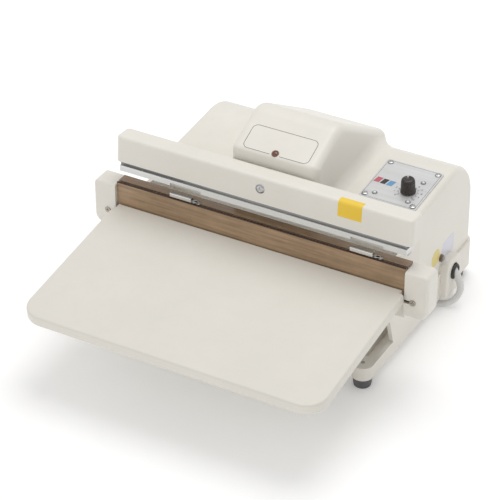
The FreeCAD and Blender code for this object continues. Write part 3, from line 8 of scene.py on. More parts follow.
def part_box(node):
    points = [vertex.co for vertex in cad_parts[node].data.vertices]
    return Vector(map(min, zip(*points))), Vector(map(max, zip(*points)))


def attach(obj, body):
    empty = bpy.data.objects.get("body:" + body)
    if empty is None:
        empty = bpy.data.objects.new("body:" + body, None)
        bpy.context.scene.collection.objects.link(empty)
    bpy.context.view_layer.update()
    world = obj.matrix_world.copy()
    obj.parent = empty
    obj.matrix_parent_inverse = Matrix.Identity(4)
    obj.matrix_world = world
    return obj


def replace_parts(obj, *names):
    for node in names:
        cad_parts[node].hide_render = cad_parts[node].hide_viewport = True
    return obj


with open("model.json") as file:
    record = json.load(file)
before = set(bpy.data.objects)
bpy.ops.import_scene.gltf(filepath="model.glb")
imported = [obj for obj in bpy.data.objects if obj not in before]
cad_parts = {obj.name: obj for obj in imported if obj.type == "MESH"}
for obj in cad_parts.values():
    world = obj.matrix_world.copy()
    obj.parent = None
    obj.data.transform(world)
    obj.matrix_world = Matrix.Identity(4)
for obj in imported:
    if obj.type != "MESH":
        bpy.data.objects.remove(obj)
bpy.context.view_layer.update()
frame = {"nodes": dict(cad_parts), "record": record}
mm = 0.001
print("frame loaded")

# Where things lie, in millimetres, as in the part's source
layout = {
    "shift": -14.8744,      # from the front face of the end blocks to the middle of the sealer
    "coverFront": 74, "coverFrontHeight": 138.4, "coverSlope": 4.1,
    "pivotY": 122, "pivotZ": 108, "openAngle": 4.5,
    "humpFront": 34.5, "humpNose": 185.5, "humpRidge": 87, "humpRidgeHeight": 208.5,
}


def place(x, y, z):
    return Vector((x, y + layout["shift"], z)) * mm


def placedAt(x, y, z):
    return Matrix.Translation(place(x, y, z))


def turnedAbout(angle, y, z):
    return placedAt(0, y, z) @ Matrix.Rotation(math.radians(angle), 4, "X")


# Frames of the sloping cover top, of the hump's front slope and of the swung press bar
onCover = turnedAbout(layout["coverSlope"], layout["coverFront"], layout["coverFrontHeight"])
noseRise = math.degrees(math.atan2(layout["humpRidgeHeight"] - layout["humpNose"],
                                   layout["humpRidge"] - layout["humpFront"]))
onHump = turnedAbout(noseRise, layout["humpFront"], layout["humpNose"])
onBar = (turnedAbout(-layout["openAngle"], layout["pivotY"], layout["pivotZ"])
         @ Matrix.Translation(-place(0, layout["pivotY"], layout["pivotZ"])))


def newGroup(name, inputs, outputs):
    group = bpy.data.node_groups.new(name, "ShaderNodeTree")
    for label, kind, value in inputs:
        socket = group.interface.new_socket(name=label, in_out="INPUT", socket_type="NodeSocket" + kind)
        if value is not None:
            socket.default_value = value
    for label, kind in outputs:
        group.interface.new_socket(name=label, in_out="OUTPUT", socket_type="NodeSocket" + kind)
    return group, group.nodes.new("NodeGroupInput"), group.nodes.new("NodeGroupOutput")


def newGrain(name, scale):
    return newGroup(name, [("Vector", "Vector", None), ("Scale", "Float", scale)],
                    [("Height", "Float"), ("Tone", "Float")])


def join(tree, start, end):
    tree.links.new(start, end)


def mathNode(tree, kind, first, second):
    node = tree.nodes.new("ShaderNodeMath")
    node.operation = kind
    for index, value in enumerate((first, second)):
        if isinstance(value, (int, float)):
            node.inputs[index].default_value = value
        else:
            join(tree, value, node.inputs[index])
    return node.outputs[0]


def plus(tree, first, second):
    return mathNode(tree, "ADD", first, second)


def times(tree, first, second):
    return mathNode(tree, "MULTIPLY", first, second)


def noiseNode(tree, vector, scale, detail, roughness):
    node = tree.nodes.new("ShaderNodeTexNoise")
    node.inputs["Detail"].default_value = detail
    node.inputs["Roughness"].default_value = roughness
    if isinstance(scale, (int, float)):
        node.inputs["Scale"].default_value = scale
    else:
        join(tree, scale, node.inputs["Scale"])
    join(tree, vector, node.inputs["Vector"])
    return node.outputs["Fac"]


def rangeNode(tree, value, low, high, newLow=0.0, newHigh=1.0):
    node = tree.nodes.new("ShaderNodeMapRange")
    for index, number in enumerate((low, high, newLow, newHigh)):
        node.inputs[index + 1].default_value = number
    join(tree, value, node.inputs[0])
    return node.outputs[0]


def stretched(tree, vector, alongX):
    node = tree.nodes.new("ShaderNodeMapping")
    node.inputs["Scale"].default_value = (alongX, 1.0, 1.0)
    join(tree, vector, node.inputs["Vector"])
    return node.outputs[0]


def mixColour(tree, factor, first, second):
    node = tree.nodes.new("ShaderNodeMix")
    node.data_type = "RGBA"
    join(tree, factor, node.inputs[0])
    for socket, value in ((node.inputs[6], first), (node.inputs[7], second)):
        if isinstance(value, tuple):
            socket.default_value = (*value, 1.0)
        else:
            join(tree, value, socket)
    return node.outputs[2]


# Moulded or sprayed skin: a fine pebble and a slow change of tone
def buildSkinGrain():
    group, given, result = newGrain("skinGrain", 900.0)
    where, scale = given.outputs["Vector"], given.outputs["Scale"]
    fine = noiseNode(group, where, scale, detail=2.0, roughness=0.6)
    cells = group.nodes.new("ShaderNodeTexVoronoi")
    cells.feature = "SMOOTH_F1"
    join(group, where, cells.inputs["Vector"])
    join(group, scale, cells.inputs["Scale"])
    pebble = plus(group, fine, times(group, cells.outputs["Distance"], 0.5))
    join(group, pebble, result.inputs["Height"])
    slow = noiseNode(group, where, 14.0, detail=4.0, roughness=0.55)
    join(group, rangeNode(group, slow, 0.3, 0.7), result.inputs["Tone"])
    return group


# Drawn or rolled metal: lines along X
def buildDrawnLines():
    group, given, result = newGrain("drawnLines", 1500.0)
    along = stretched(group, given.outputs["Vector"], 0.012)
    lines = noiseNode(group, along, given.outputs["Scale"], detail=2.0, roughness=0.7)
    join(group, lines, result.inputs["Height"])
    broad = noiseNode(group, along, 240.0, detail=3.0, roughness=0.6)
    both = plus(group, times(group, lines, 0.4), times(group, broad, 0.6))
    join(group, rangeNode(group, both, 0.35, 0.65), result.inputs["Tone"])
    return group


# Woven glass cloth: two crossing sets of threads, drawn streaks along X and slow stains
def buildClothWeave():
    group, given, result = newGrain("clothWeave", 520.0)
    where = given.outputs["Vector"]
    waves = []
    for direction in ("X", "Z"):
        wave = group.nodes.new("ShaderNodeTexWave")
        wave.bands_direction = direction
        for label, value in (("Distortion", 0.6), ("Detail", 1.0), ("Detail Scale", 2.0)):
            wave.inputs[label].default_value = value
        join(group, where, wave.inputs["Vector"])
        join(group, given.outputs["Scale"], wave.inputs["Scale"])
        waves.append(wave.outputs["Fac"])
    join(group, times(group, *waves), result.inputs["Height"])
    streaks = noiseNode(group, stretched(group, where, 0.05), 330.0, detail=4.0, roughness=0.6)
    stains = noiseNode(group, where, 45.0, detail=5.0, roughness=0.62)
    threads = times(group, plus(group, *waves), 0.08)
    mottled = plus(group, times(group, stains, 0.35), times(group, streaks, 0.75))
    join(group, rangeNode(group, plus(group, mottled, threads), 0.38, 0.84), result.inputs["Tone"])
    return group


# Hand marks and dust that settle on top faces
def buildHandling():
    group, given, result = newGroup("handling", [("Vector", "Vector", None), ("Amount", "Float", 0.5)],
                                    [("Dust", "Float"), ("Marks", "Float")])
    where = given.outputs["Vector"]
    geometry = group.nodes.new("ShaderNodeNewGeometry")
    parts = group.nodes.new("ShaderNodeSeparateXYZ")
    join(group, geometry.outputs["Normal"], parts.inputs[0])
    up = rangeNode(group, parts.outputs["Z"], 0.2, 1.0)
    specks = rangeNode(group, noiseNode(group, where, 60.0, detail=6.0, roughness=0.7), 0.45, 0.8)
    settled = times(group, times(group, up, specks), given.outputs["Amount"])
    join(group, settled, result.inputs["Dust"])
    smears = noiseNode(group, where, 22.0, detail=3.0, roughness=0.5)
    join(group, rangeNode(group, smears, 0.4, 0.7), result.inputs["Marks"])
    return group


# A level on the object: 0 below it and 1 above it
def buildHeightStep():
    group, given, result = newGroup("heightStep", [("Vector", "Vector", None), ("Level", "Float", 0.09)],
                                    [("Above", "Float")])
    parts = group.nodes.new("ShaderNodeSeparateXYZ")
    join(group, given.outputs["Vector"], parts.inputs[0])
    over = mathNode(group, "SUBTRACT", parts.outputs["Z"], given.outputs["Level"])
    join(group, rangeNode(group, over, -0.0003, 0.0003), result.inputs["Above"])
    return group


groups = {"skinGrain": buildSkinGrain(), "drawnLines": buildDrawnLines(), "clothWeave": buildClothWeave(),
          "handling": buildHandling(), "heightStep": buildHeightStep()}

# Each finish: two tones and the range of roughness; grain group and its scale, bump depth, dust,
# metal, coat and glow where they differ from makeFinish's own values
drawn = dict(metal=1.0, grain="drawnLines")
printed = dict(rough=(0.4, 0.5), bump=0.01)
finishes = {
    "ivoryPlastic": dict(tones=((0.775, 0.745, 0.675), (0.81, 0.78, 0.715)), rough=(0.34, 0.44), scale=1100,
        bump=0.05, dust=0.12),
    "ivoryMetal": dict(tones=((0.755, 0.72, 0.655), (0.79, 0.755, 0.69)), rough=(0.34, 0.44), scale=700,
        bump=0.06, dust=0.12),
    "tableBoard": dict(tones=((0.73, 0.7, 0.632), (0.755, 0.725, 0.662)), rough=(0.42, 0.54), bump=0.05,
        dust=0.12),
    "brownCloth": dict(tones=((0.2, 0.128, 0.072), (0.47, 0.315, 0.185)), rough=(0.3, 0.46),
        grain="clothWeave", scale=300, bump=0.22, dust=0.05, coat=0.15),
    "plateCloth": dict(tones=((0.2, 0.128, 0.072), (0.47, 0.315, 0.185)), rough=(0.3, 0.46),
        grain="clothWeave", scale=300, bump=0.22, dust=0.05, coat=0.15, below=(0.0895, (0.76, 0.73, 0.66))),
    "bronzedSteel": dict(tones=((0.36, 0.32, 0.27), (0.5, 0.45, 0.39)), rough=(0.2, 0.32), **drawn),
    "insulationTape": dict(tones=((0.2, 0.15, 0.09), (0.28, 0.21, 0.13)), rough=(0.7, 0.85),
        grain="clothWeave", scale=260, bump=0.4, dust=0.1),
    "railAluminium": dict(tones=((0.66, 0.66, 0.65), (0.78, 0.78, 0.77)), rough=(0.34, 0.48), metal=0.75,
        grain="drawnLines", scale=1600, bump=0.05, dust=0.05),
    "zincSheet": dict(tones=((0.4, 0.41, 0.42), (0.52, 0.53, 0.53)), rough=(0.3, 0.46), metal=1.0,
            scale=300,
        dust=0.2),
    "screwSteel": dict(tones=((0.5, 0.5, 0.51), (0.64, 0.64, 0.65)), rough=(0.22, 0.34), dust=0.1, **drawn),
    "blackenedSteel": dict(tones=((0.02, 0.02, 0.022), (0.045, 0.045, 0.047)), rough=(0.3, 0.45), metal=0.8,
        bump=0.05, dust=0.1),
    "clipChrome": dict(tones=((0.56, 0.545, 0.525), (0.72, 0.71, 0.69)), rough=(0.24, 0.38), scale=700,
        bump=0.04, dust=0.05, **drawn),
    "heaterAlloy": dict(tones=((0.3, 0.28, 0.26), (0.42, 0.4, 0.37)), rough=(0.3, 0.42), scale=1200,
        bump=0.05, **drawn),
    "turnedBrass": dict(tones=((0.48, 0.33, 0.13), (0.6, 0.43, 0.19)), rough=(0.24, 0.36), bump=0.04,
        dust=0.1, **drawn),
    "bareIron": dict(tones=((0.13, 0.13, 0.135), (0.22, 0.22, 0.22)), rough=(0.4, 0.6), metal=0.9,
        grain="drawnLines", scale=500, bump=0.1, dust=0.2),
    "windingTape": dict(tones=((0.42, 0.16, 0.06), (0.54, 0.24, 0.1)), rough=(0.25, 0.4),
            grain="drawnLines",
        scale=420, bump=0.25, dust=0.1),
    "footRubber": dict(tones=((0.085, 0.085, 0.088), (0.13, 0.13, 0.133)), rough=(0.5, 0.68), scale=1200,
        bump=0.12, dust=0.4),
    "blackPlastic": dict(tones=((0.009, 0.009, 0.01), (0.018, 0.018, 0.019)), rough=(0.34, 0.48),
            scale=1400,
        bump=0.08, dust=0.15),
    "siliconeStrip": dict(tones=((0.56, 0.54, 0.5), (0.64, 0.62, 0.58)), rough=(0.5, 0.62), scale=800,
        bump=0.08, dust=0.1),
    "ringGrey": dict(tones=((0.26, 0.26, 0.265), (0.34, 0.34, 0.345)), rough=(0.3, 0.4), metal=0.5,
            bump=0.02),
    "knobPlastic": dict(tones=((0.026, 0.02, 0.018), (0.052, 0.041, 0.036)), rough=(0.3, 0.44), scale=1400,
        bump=0.08, dust=0.25),
    "pointerWhite": dict(tones=((0.55, 0.54, 0.52), (0.66, 0.65, 0.63)), **printed),
    "bootRubber": dict(tones=((0.014, 0.014, 0.014), (0.03, 0.03, 0.03)), rough=(0.42, 0.6), scale=1300,
        bump=0.08, dust=0.15),
    "tieBlack": dict(tones=((0.018, 0.018, 0.02), (0.03, 0.03, 0.032)), rough=(0.3, 0.42), scale=700,
        bump=0.05, dust=0.1),
    "plugGrey": dict(tones=((0.62, 0.61, 0.595), (0.69, 0.68, 0.66)), rough=(0.42, 0.54), scale=800,
        bump=0.08, dust=0.2),
    "yellowFaded": dict(tones=((0.72, 0.6, 0.2), (0.8, 0.68, 0.28)), rough=(0.35, 0.45), scale=500,
        bump=0.02, dust=0.2),
    "panelSheet": dict(tones=((0.6, 0.6, 0.6), (0.69, 0.69, 0.69)), rough=(0.34, 0.44), metal=0.2,
        grain="drawnLines", scale=1300, bump=0.02, dust=0.05),
    "lampRed": dict(tones=((0.16, 0.045, 0.028), (0.25, 0.075, 0.05)), rough=(0.12, 0.2), scale=500,
        bump=0.02, coat=0.5),
    "clearLens": dict(tones=((0.7, 0.72, 0.7), (0.8, 0.82, 0.8)), rough=(0.08, 0.16), scale=500,
        bump=0.02, coat=0.8),
    "boardGreen": dict(tones=((0.02, 0.09, 0.045), (0.035, 0.13, 0.07)), rough=(0.28, 0.42), scale=600,
        bump=0.1, dust=0.2),
    "redPlastic": dict(tones=((0.36, 0.035, 0.025), (0.46, 0.06, 0.045)), rough=(0.22, 0.34), dust=0.1),
    "greyPlastic": dict(tones=((0.24, 0.245, 0.25), (0.3, 0.305, 0.31)), rough=(0.35, 0.48), bump=0.05,
        dust=0.1),
    "cordSheath": dict(tones=((0.66, 0.65, 0.635), (0.73, 0.72, 0.7)), rough=(0.44, 0.56), bump=0.06,
        dust=0.15),
    "yellowLabel": dict(tones=((0.84, 0.54, 0.03), (0.9, 0.63, 0.06)), rough=(0.3, 0.42), scale=500,
        bump=0.02, dust=0.05),
    "paleLabel": dict(tones=((0.66, 0.655, 0.73), (0.72, 0.71, 0.77)), rough=(0.3, 0.42), scale=500,
        bump=0.02, dust=0.05),
    "printGrey": dict(tones=((0.09, 0.09, 0.095), (0.13, 0.13, 0.135)), **printed),
    # black print on the panel, also used as painted shade over the end blocks' slots
    "printAndShadeBlack": dict(tones=((0.02, 0.02, 0.022), (0.035, 0.035, 0.037)), **printed),
    "printRed": dict(tones=((0.48, 0.09, 0.12), (0.56, 0.13, 0.16)), **printed),
    "printBlue": dict(tones=((0.12, 0.3, 0.52), (0.17, 0.37, 0.58)), **printed),
    "floorWhite": dict(tones=((0.955, 0.955, 0.955), (0.965, 0.965, 0.965)), rough=(0.7, 0.8), scale=60,
        bump=0.0, glow=0.14),
    "slipSheet": dict(tones=((0.25, 0.155, 0.09), (0.46, 0.31, 0.19)), rough=(0.16, 0.3),
            grain="clothWeave",
        scale=300, bump=0.12, coat=0.35),
    # painted shade: the dark strip along the front plate's top edge, where the gap lies in shadow
    "paintedEdgeShade": dict(tones=((0.05, 0.019, 0.009), (0.085, 0.034, 0.017)), rough=(0.55, 0.7),
        grain="clothWeave", scale=300, bump=0.15),
    # painted shade: the dark strip in the rail's groove
    "paintedGrooveShade": dict(tones=((0.25, 0.25, 0.255), (0.36, 0.36, 0.365)), rough=(0.3, 0.45), metal=0.7,
        grain="drawnLines", scale=1500, bump=0.06),
    "buttonGrey": dict(tones=((0.25, 0.24, 0.26), (0.33, 0.32, 0.34)), rough=(0.3, 0.42), scale=800,
            dust=0.1),
    "collarBrown": dict(tones=((0.17, 0.11, 0.075), (0.25, 0.17, 0.12)), rough=(0.3, 0.42), metal=0.5,
        scale=800, dust=0.1),
    "panelScrewSteel": dict(tones=((0.4, 0.4, 0.4), (0.5, 0.5, 0.5)), rough=(0.26, 0.38), **drawn),
}
finishValues = {"dustTone": (0.58, 0.56, 0.52), "toneShare": 0.6, "marksShare": 0.4, "bumpDistance": 0.0004}


def groupNode(tree, name, vector, label, value):
    node = tree.nodes.new("ShaderNodeGroup")
    node.node_tree = groups[name]
    node.inputs[label].default_value = value
    join(tree, vector, node.inputs["Vector"])
    return node.outputs


def makeFinish(name, tones, rough, grain="skinGrain", scale=900, bump=0.03, dust=0.0, metal=0.0, coat=0.0,
               glow=0.0, below=None):
    v = finishValues
    material = bpy.data.materials.new(name)
    material.use_nodes = True
    tree = material.node_tree
    surface = tree.nodes["Principled BSDF"]
    where = tree.nodes.new("ShaderNodeTexCoord").outputs["Object"]
    texture = groupNode(tree, grain, where, "Scale", scale)
    handling = groupNode(tree, "handling", where, "Amount", dust)
    colour = mixColour(tree, texture["Tone"], *tones)
    colour = mixColour(tree, handling["Dust"], colour, v["dustTone"])
    if below:
        level, lowerTone = below
        colour = mixColour(tree, groupNode(tree, "heightStep", where, "Level", level)["Above"], lowerTone,
                colour)
    join(tree, colour, surface.inputs["Base Color"])
    worn = plus(tree, times(tree, texture["Tone"], v["toneShare"]),
                times(tree, handling["Marks"], v["marksShare"]))
    join(tree, rangeNode(tree, worn, 0.0, 1.0, *rough), surface.inputs["Roughness"])
    surface.inputs["Metallic"].default_value = metal
    surface.inputs["Coat Weight"].default_value = coat
    surface.inputs["Emission Color"].default_value = (1, 1, 1, 1)
    surface.inputs["Emission Strength"].default_value = glow
    lift = tree.nodes.new("ShaderNodeBump")
    lift.inputs["Strength"].default_value = bump
    lift.inputs["Distance"].default_value = v["bumpDistance"]
    join(tree, texture["Height"], lift.inputs["Height"])
    join(tree, lift.outputs["Normal"], surface.inputs["Normal"])
    return material


paint = {name: makeFinish(name, **values) for name, values in finishes.items()}
print("finishes made", len(paint))

slotFinish = {
    "ivory_board": "tableBoard", "zinc_steel": "zincSheet", "ivory_plastic": "ivoryPlastic",
    "aluminium_rail": "railAluminium", "brown_cloth": "brownCloth", "insulation": "insulationTape",
    "heater_alloy": "heaterAlloy", "chrome": "clipChrome", "black_steel": "blackenedSteel",
    "brass": "turnedBrass", "screw_steel": "screwSteel", "silicone": "siliconeStrip",
    "arm_steel": "ivoryMetal", "bronze": "turnedBrass", "magnet_steel": "bareIron",
    "spring_steel": "screwSteel", "coil_tape": "windingTape", "ivory_metal": "ivoryMetal",
    "foot_rubber": "footRubber", "lamp_red": "lampRed", "panel_grey": "panelSheet",
    "lens_clear": "clearLens", "black_knob": "blackPlastic", "board_green": "boardGreen",
    "black_resin": "blackPlastic", "red_resin": "redPlastic", "grey_resin": "greyPlastic",
    "cord_grey": "cordSheath",
}
# Nodes with a finish of their own
nodeFinish = {"slip_sheet": "slipSheet", "bed_front_plate": "plateCloth", "reset_button": "buttonGrey",
              "button_collar": "collarBrown"}
slotOf = {entry["node"]: entry["material_slot"] for entry in frame["record"]["subparts"]}
for node, thing in frame["nodes"].items():
    thing.data.materials.clear()
    thing.data.materials.append(paint[nodeFinish.get(node) or slotFinish[slotOf[node]]])
print("frame nodes dressed", len(frame["nodes"]))


def addObject(name, data):
    thing = bpy.data.objects.new(name, data)
    bpy.context.scene.collection.objects.link(thing)
    return thing


def meshObject(name, vertices, faces, finish, smooth=True, matrix=None):
    mesh = bpy.data.meshes.new(name)
    mesh.from_pydata([tuple(v) for v in vertices], [], faces)
    mesh.validate()
    if matrix is not None:
        mesh.transform(matrix)
    work = bmesh.new()
    work.from_mesh(mesh)
    bmesh.ops.recalc_face_normals(work, faces=work.faces)
    work.to_mesh(mesh)
    work.free()
    thing = addObject(name, mesh)
    mesh.materials.append(paint[finish])
    if smooth:
        mesh.shade_smooth()
    return thing


def fasten(thing, body):
    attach(thing, body)
    return thing


def softEdges(thing, width, segments=3, angle=30):
    bevel = thing.modifiers.new("softEdge", "BEVEL")
    bevel.width = width * mm
    bevel.segments = segments
    bevel.limit_method = "ANGLE"
    bevel.angle_limit = math.radians(angle)
    normals = thing.modifiers.new("evenNormals", "WEIGHTED_NORMAL")
    normals.keep_sharp = True


def merged(name, things, finish):
    # one mesh out of several, each already in its place
    work = bmesh.new()
    for thing in things:
        work.from_mesh(thing.data)
        bpy.data.objects.remove(thing)
    mesh = bpy.data.meshes.new(name)
    work.to_mesh(mesh)
    work.free()
    mesh.materials.append(paint[finish])
    mesh.shade_smooth()
    return addObject(name, mesh)


def loft(name, rings, finish, matrix=None, closed=False, smooth=True):
    # rings: lists of as many points each, in metres, joined one after the other
    count, total = len(rings[0]), len(rings)
    vertices = [point for ring in rings for point in ring]
    pairs = [(index, index + 1) for index in range(total - 1)] + ([(total - 1, 0)] if closed else [])
    faces = []
    for pair in pairs:
        first, second = pair[0] * count, pair[1] * count
        for step in range(count):
            after = (step + 1) % count
            faces.append((first + step, first + after, second + after, second + step))
    if not closed:
        faces.append(tuple(reversed(range(count))))
        faces.append(tuple(range((total - 1) * count, total * count)))
    return meshObject(name, vertices, faces, finish, smooth=smooth, matrix=matrix)


def turnedPoint(radius, angle, height):
    return Vector((radius * math.cos(angle), radius * math.sin(angle), height)) * mm


def lathe(name, profile, finish, matrix, count=64, wave=None):
    # profile: pairs of radius and height in mm; wave may change the radius round the turn
    rings = []
    for radius, height in profile:
        turned = []
        for step in range(count):
            angle = 2 * math.pi * step / count
            turned.append(turnedPoint(wave(radius, height, angle) if wave else radius, angle, height))
        rings.append(turned)
    return loft(name, rings, finish, matrix=matrix)


def at(matrix, x, y, z=0.0):
    return matrix @ Matrix.Translation(Vector((x, y, z)) * mm)


def cornered(width, height, radius, centre=(0, 0), steps=6):
    # a rectangle with round corners, as points in mm
    points = []
    for cornerX, cornerY, start in ((1, 1, 0), (-1, 1, 90), (-1, -1, 180), (1, -1, 270)):
        for step in range(steps + 1):
            angle = math.radians(start + 90 * step / steps)
            points.append((centre[0] + cornerX * (width / 2 - radius) + radius * math.cos(angle),
                           centre[1] + cornerY * (height / 2 - radius) + radius * math.sin(angle)))
    return points


def boxed(left, right, low, high, radius, steps):
    # the same rectangle from its four sides
    return cornered(right - left, high - low, radius, centre=((left + right) / 2, (low + high) / 2),
            steps=steps)


def sheetPiece(name, outline, thickness, finish, matrix):
    # a thin flat piece with the outline given in mm
    rings = [[Vector((x, y, z)) * mm for x, y in outline] for z in (0, thickness)]
    return loft(name, rings, finish, matrix=matrix, smooth=False)


def line(name, path, width, thickness, finish, matrix, closed=False):
    # a raised line of even width along a path of points in mm
    rings = []
    total = len(path)
    for index, point in enumerate(path):
        before = path[index - 1] if closed or index else point
        after = path[(index + 1) % total] if closed or index < total - 1 else point
        along = Vector((after[0] - before[0], after[1] - before[1])).normalized()
        across = Vector((-along.y, along.x)) * (width / 2)
        left, right = Vector(point) + across, Vector(point) - across
        rings.append([Vector((*side, level)) * mm
                      for side, level in ((left, 0), (right, 0), (right, thickness), (left, thickness))])
    return loft(name, rings, finish, matrix=matrix, closed=closed, smooth=False)


def smoothCurve(name, spots, resolution):
    # an open NURBS line with the spots, in mm, as its control points
    data = bpy.data.curves.new(name, "CURVE")
    data.dimensions = "3D"
    data.resolution_u = resolution
    spline = data.splines.new("NURBS")
    spline.points.add(len(spots) - 1)
    for point, spot in zip(spline.points, spots):
        point.co = (*place(*spot), 1)
    spline.order_u = 3
    spline.use_endpoint_u = True
    return data


# Camera: the photograph's viewing angle, recovered from the object's straight edges
cameraValues = {"turn": 29.08, "down": 33.915, "roll": 0.166, "lens": 168.51, "sensor": 36, "farthest": 50,
                "eye": (901.5, -1632.4, 1353.5)}


def makeCamera():
    turn, down, roll = (math.radians(cameraValues[key]) for key in ("turn", "down", "roll"))
    right = Vector((math.cos(turn), math.sin(turn), 0))
    ahead = Vector((-math.sin(turn) * math.cos(down), math.cos(turn) * math.cos(down), -math.sin(down)))
    below = ahead.cross(right)
    rolledRight = math.cos(roll) * right + math.sin(roll) * below
    rolledBelow = -math.sin(roll) * right + math.cos(roll) * below
    data = bpy.data.cameras.new("photoView")
    data.sensor_width = cameraValues["sensor"]
    data.lens = cameraValues["lens"]
    data.clip_end = cameraValues["farthest"]
    eye = addObject("photoView", data)
    axes = Matrix((rolledRight, -rolledBelow, -ahead)).transposed().to_4x4()
    eye.matrix_world = placedAt(*cameraValues["eye"]) @ axes
    bpy.context.scene.camera = eye


# Studio: a pale floor, even light from all round and two soft round lamps, in metres and watts
studioValues = {"floorHalf": 6, "air": 0.635, "aim": (0, 0, 0.1),
                "lamps": (("overhead", (0.0, 0.6, 2.1), 1.6, 18), ("frontLeft", (-1.2, -2.0, 1.3), 1.3, 6))}


def makeLight(name, spot, size, power):
    data = bpy.data.lights.new(name, "AREA")
    data.shape = "DISK"
    data.size = size
    data.energy = power
    lamp = addObject(name, data)
    lamp.location = spot
    lamp.rotation_euler = (Vector(studioValues["aim"]) - Vector(spot)).to_track_quat("-Z", "Y").to_euler()


def makeStudio():
    half = studioValues["floorHalf"]
    corners = [(-half, -half, 0), (half, -half, 0), (half, half, 0), (-half, half, 0)]
    floor = meshObject("studioFloor", corners, [(0, 1, 2, 3)], "floorWhite", smooth=False)
    world = bpy.data.worlds.new("studioAir")
    world.use_nodes = True
    world.node_tree.nodes["Background"].inputs[0].default_value = (1, 1, 1, 1)
    world.node_tree.nodes["Background"].inputs[1].default_value = studioValues["air"]
    bpy.context.scene.world = world
    bpy.context.scene.view_settings.view_transform = "Standard"
    for lamp in studioValues["lamps"]:
        makeLight(*lamp)


makeCamera()
makeStudio()
print("camera and light")


# Screws: a domed head with a cross recess on a short shank, and a washer where one is given
def screwHead(name, finish, matrix, radius=3.7, height=2.2, shank=4.0, washer=0.0, shankRadius=2.0,
        recess=0.6):
    fractions = (0.04, 0.10, 0.16, 0.22, 0.29, 0.37, 0.45, 0.53, 0.61, 0.70, 0.80, 0.90, 0.97, 1.0)
    count = 64
    armWidth, armLength = 0.15 * radius, 0.58 * radius
    rings = []
    for share in reversed(fractions):
        ring = []
        for step in range(count):
            angle = 2 * math.pi * step / count
            x, y = share * radius * math.cos(angle), share * radius * math.sin(angle)
            dome = height * (1 - 0.34 * share ** 2.4)
            short, long = sorted((abs(x), abs(y)))
            sunk = 1.0 if short < armWidth and long < armLength else 0.0
            ring.append(Vector((x, y, dome - sunk * recess * height * (1.15 - long / radius))) * mm)
        rings.append(ring)
    lower = [(radius, 0.0), (shankRadius, 0.0), (shankRadius, -shank)]
    if washer:
        lower = [(radius, 0.35), (washer, 0.35), (washer, 0.0), (shankRadius, 0.0), (shankRadius, -shank)]
    for reach, level in lower:
        rings.insert(0, [turnedPoint(reach, 2 * math.pi * step / count, level) for step in range(count)])
    return loft(name, rings, finish, matrix=matrix)


towardsFront = Matrix.Rotation(math.radians(90), 4, "X")
towardsRight = Matrix.Rotation(math.radians(90), 4, "Y")
towardsLeft = Matrix.Rotation(math.radians(-90), 4, "Y")

screwPlaces = {
    "barScrew": dict(x=0, height=155.35, barFront=4.5, radius=3.4, washer=4.7),
    "blockScrews": dict(x=167, height=94, radius=3.2),
    "coverScrews": dict(x=136.5, back=114.5, height=50, radius=3.7),
    "clipScrews": dict(xs=(126.5, -69.5), back=6.65, height=128.1, radius=1.9),
    "panelScrews": dict(xs=(74, 125), backs=(9.5, 66.5), lift=1.5, radius=2.9),
}


def makeScrews():
    bar = screwPlaces["barScrew"]
    spot = onBar @ placedAt(bar["x"], bar["barFront"], bar["height"]) @ towardsFront
    head = screwHead("barScrewHead", "screwSteel", spot, radius=bar["radius"], height=1.3,
            washer=bar["washer"])
    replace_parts(fasten(head, "arm"), "bar_screw")
    heads, blockHeads = [], []
    for side in (1, -1):
        values = screwPlaces["blockScrews"]
        spot = placedAt(side * values["x"], -0.05, values["height"]) @ towardsFront
        blockHeads.append(screwHead("blockScrew", "bronzedSteel", spot, radius=values["radius"], height=1.1,
                shank=6, recess=0.95))
        values = screwPlaces["coverScrews"]
        spot = placedAt(side * values["x"], values["back"], values["height"])
        heads.append(screwHead("coverScrew", "screwSteel",
                spot @ (towardsRight if side > 0 else towardsLeft),
                               radius=values["radius"], height=2.2, shank=5))
    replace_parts(fasten(merged("coverScrewHeads", heads, "screwSteel"), "frame"),
                "side_screws")
    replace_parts(fasten(merged("blockScrewHeads", blockHeads, "bronzedSteel"), "frame"),
                "side_screws")
    values = screwPlaces["clipScrews"]
    heads = [screwHead("clipScrew", "blackenedSteel", placedAt(x, values["back"], values["height"]),
                       radius=values["radius"], height=1.2, shank=3, shankRadius=0.6) for x in values["xs"]]
    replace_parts(fasten(merged("clipScrewHeads", heads, "blackenedSteel"), "frame"),
                "clip_screws")
    values = screwPlaces["panelScrews"]
    heads = [screwHead("panelScrew", "panelScrewSteel", at(onCover, x, y, values["lift"]),
            radius=values["radius"], height=1.4,
                       shank=5) for x in values["xs"] for y in values["backs"]]
    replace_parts(fasten(merged("panelScrewHeads", heads, "panelScrewSteel"), "frame"),
                "panel_screws")


# Clips: folded sheet over the edge of the cloth, each with a tab and a low wire loop round its screw
clipShape = dict(starts=(98, -98), length=24, middle=6.65, floor=127.5, height=4.9, depth=5.1, wall=0.45,
        tab=9, wire=0.35)


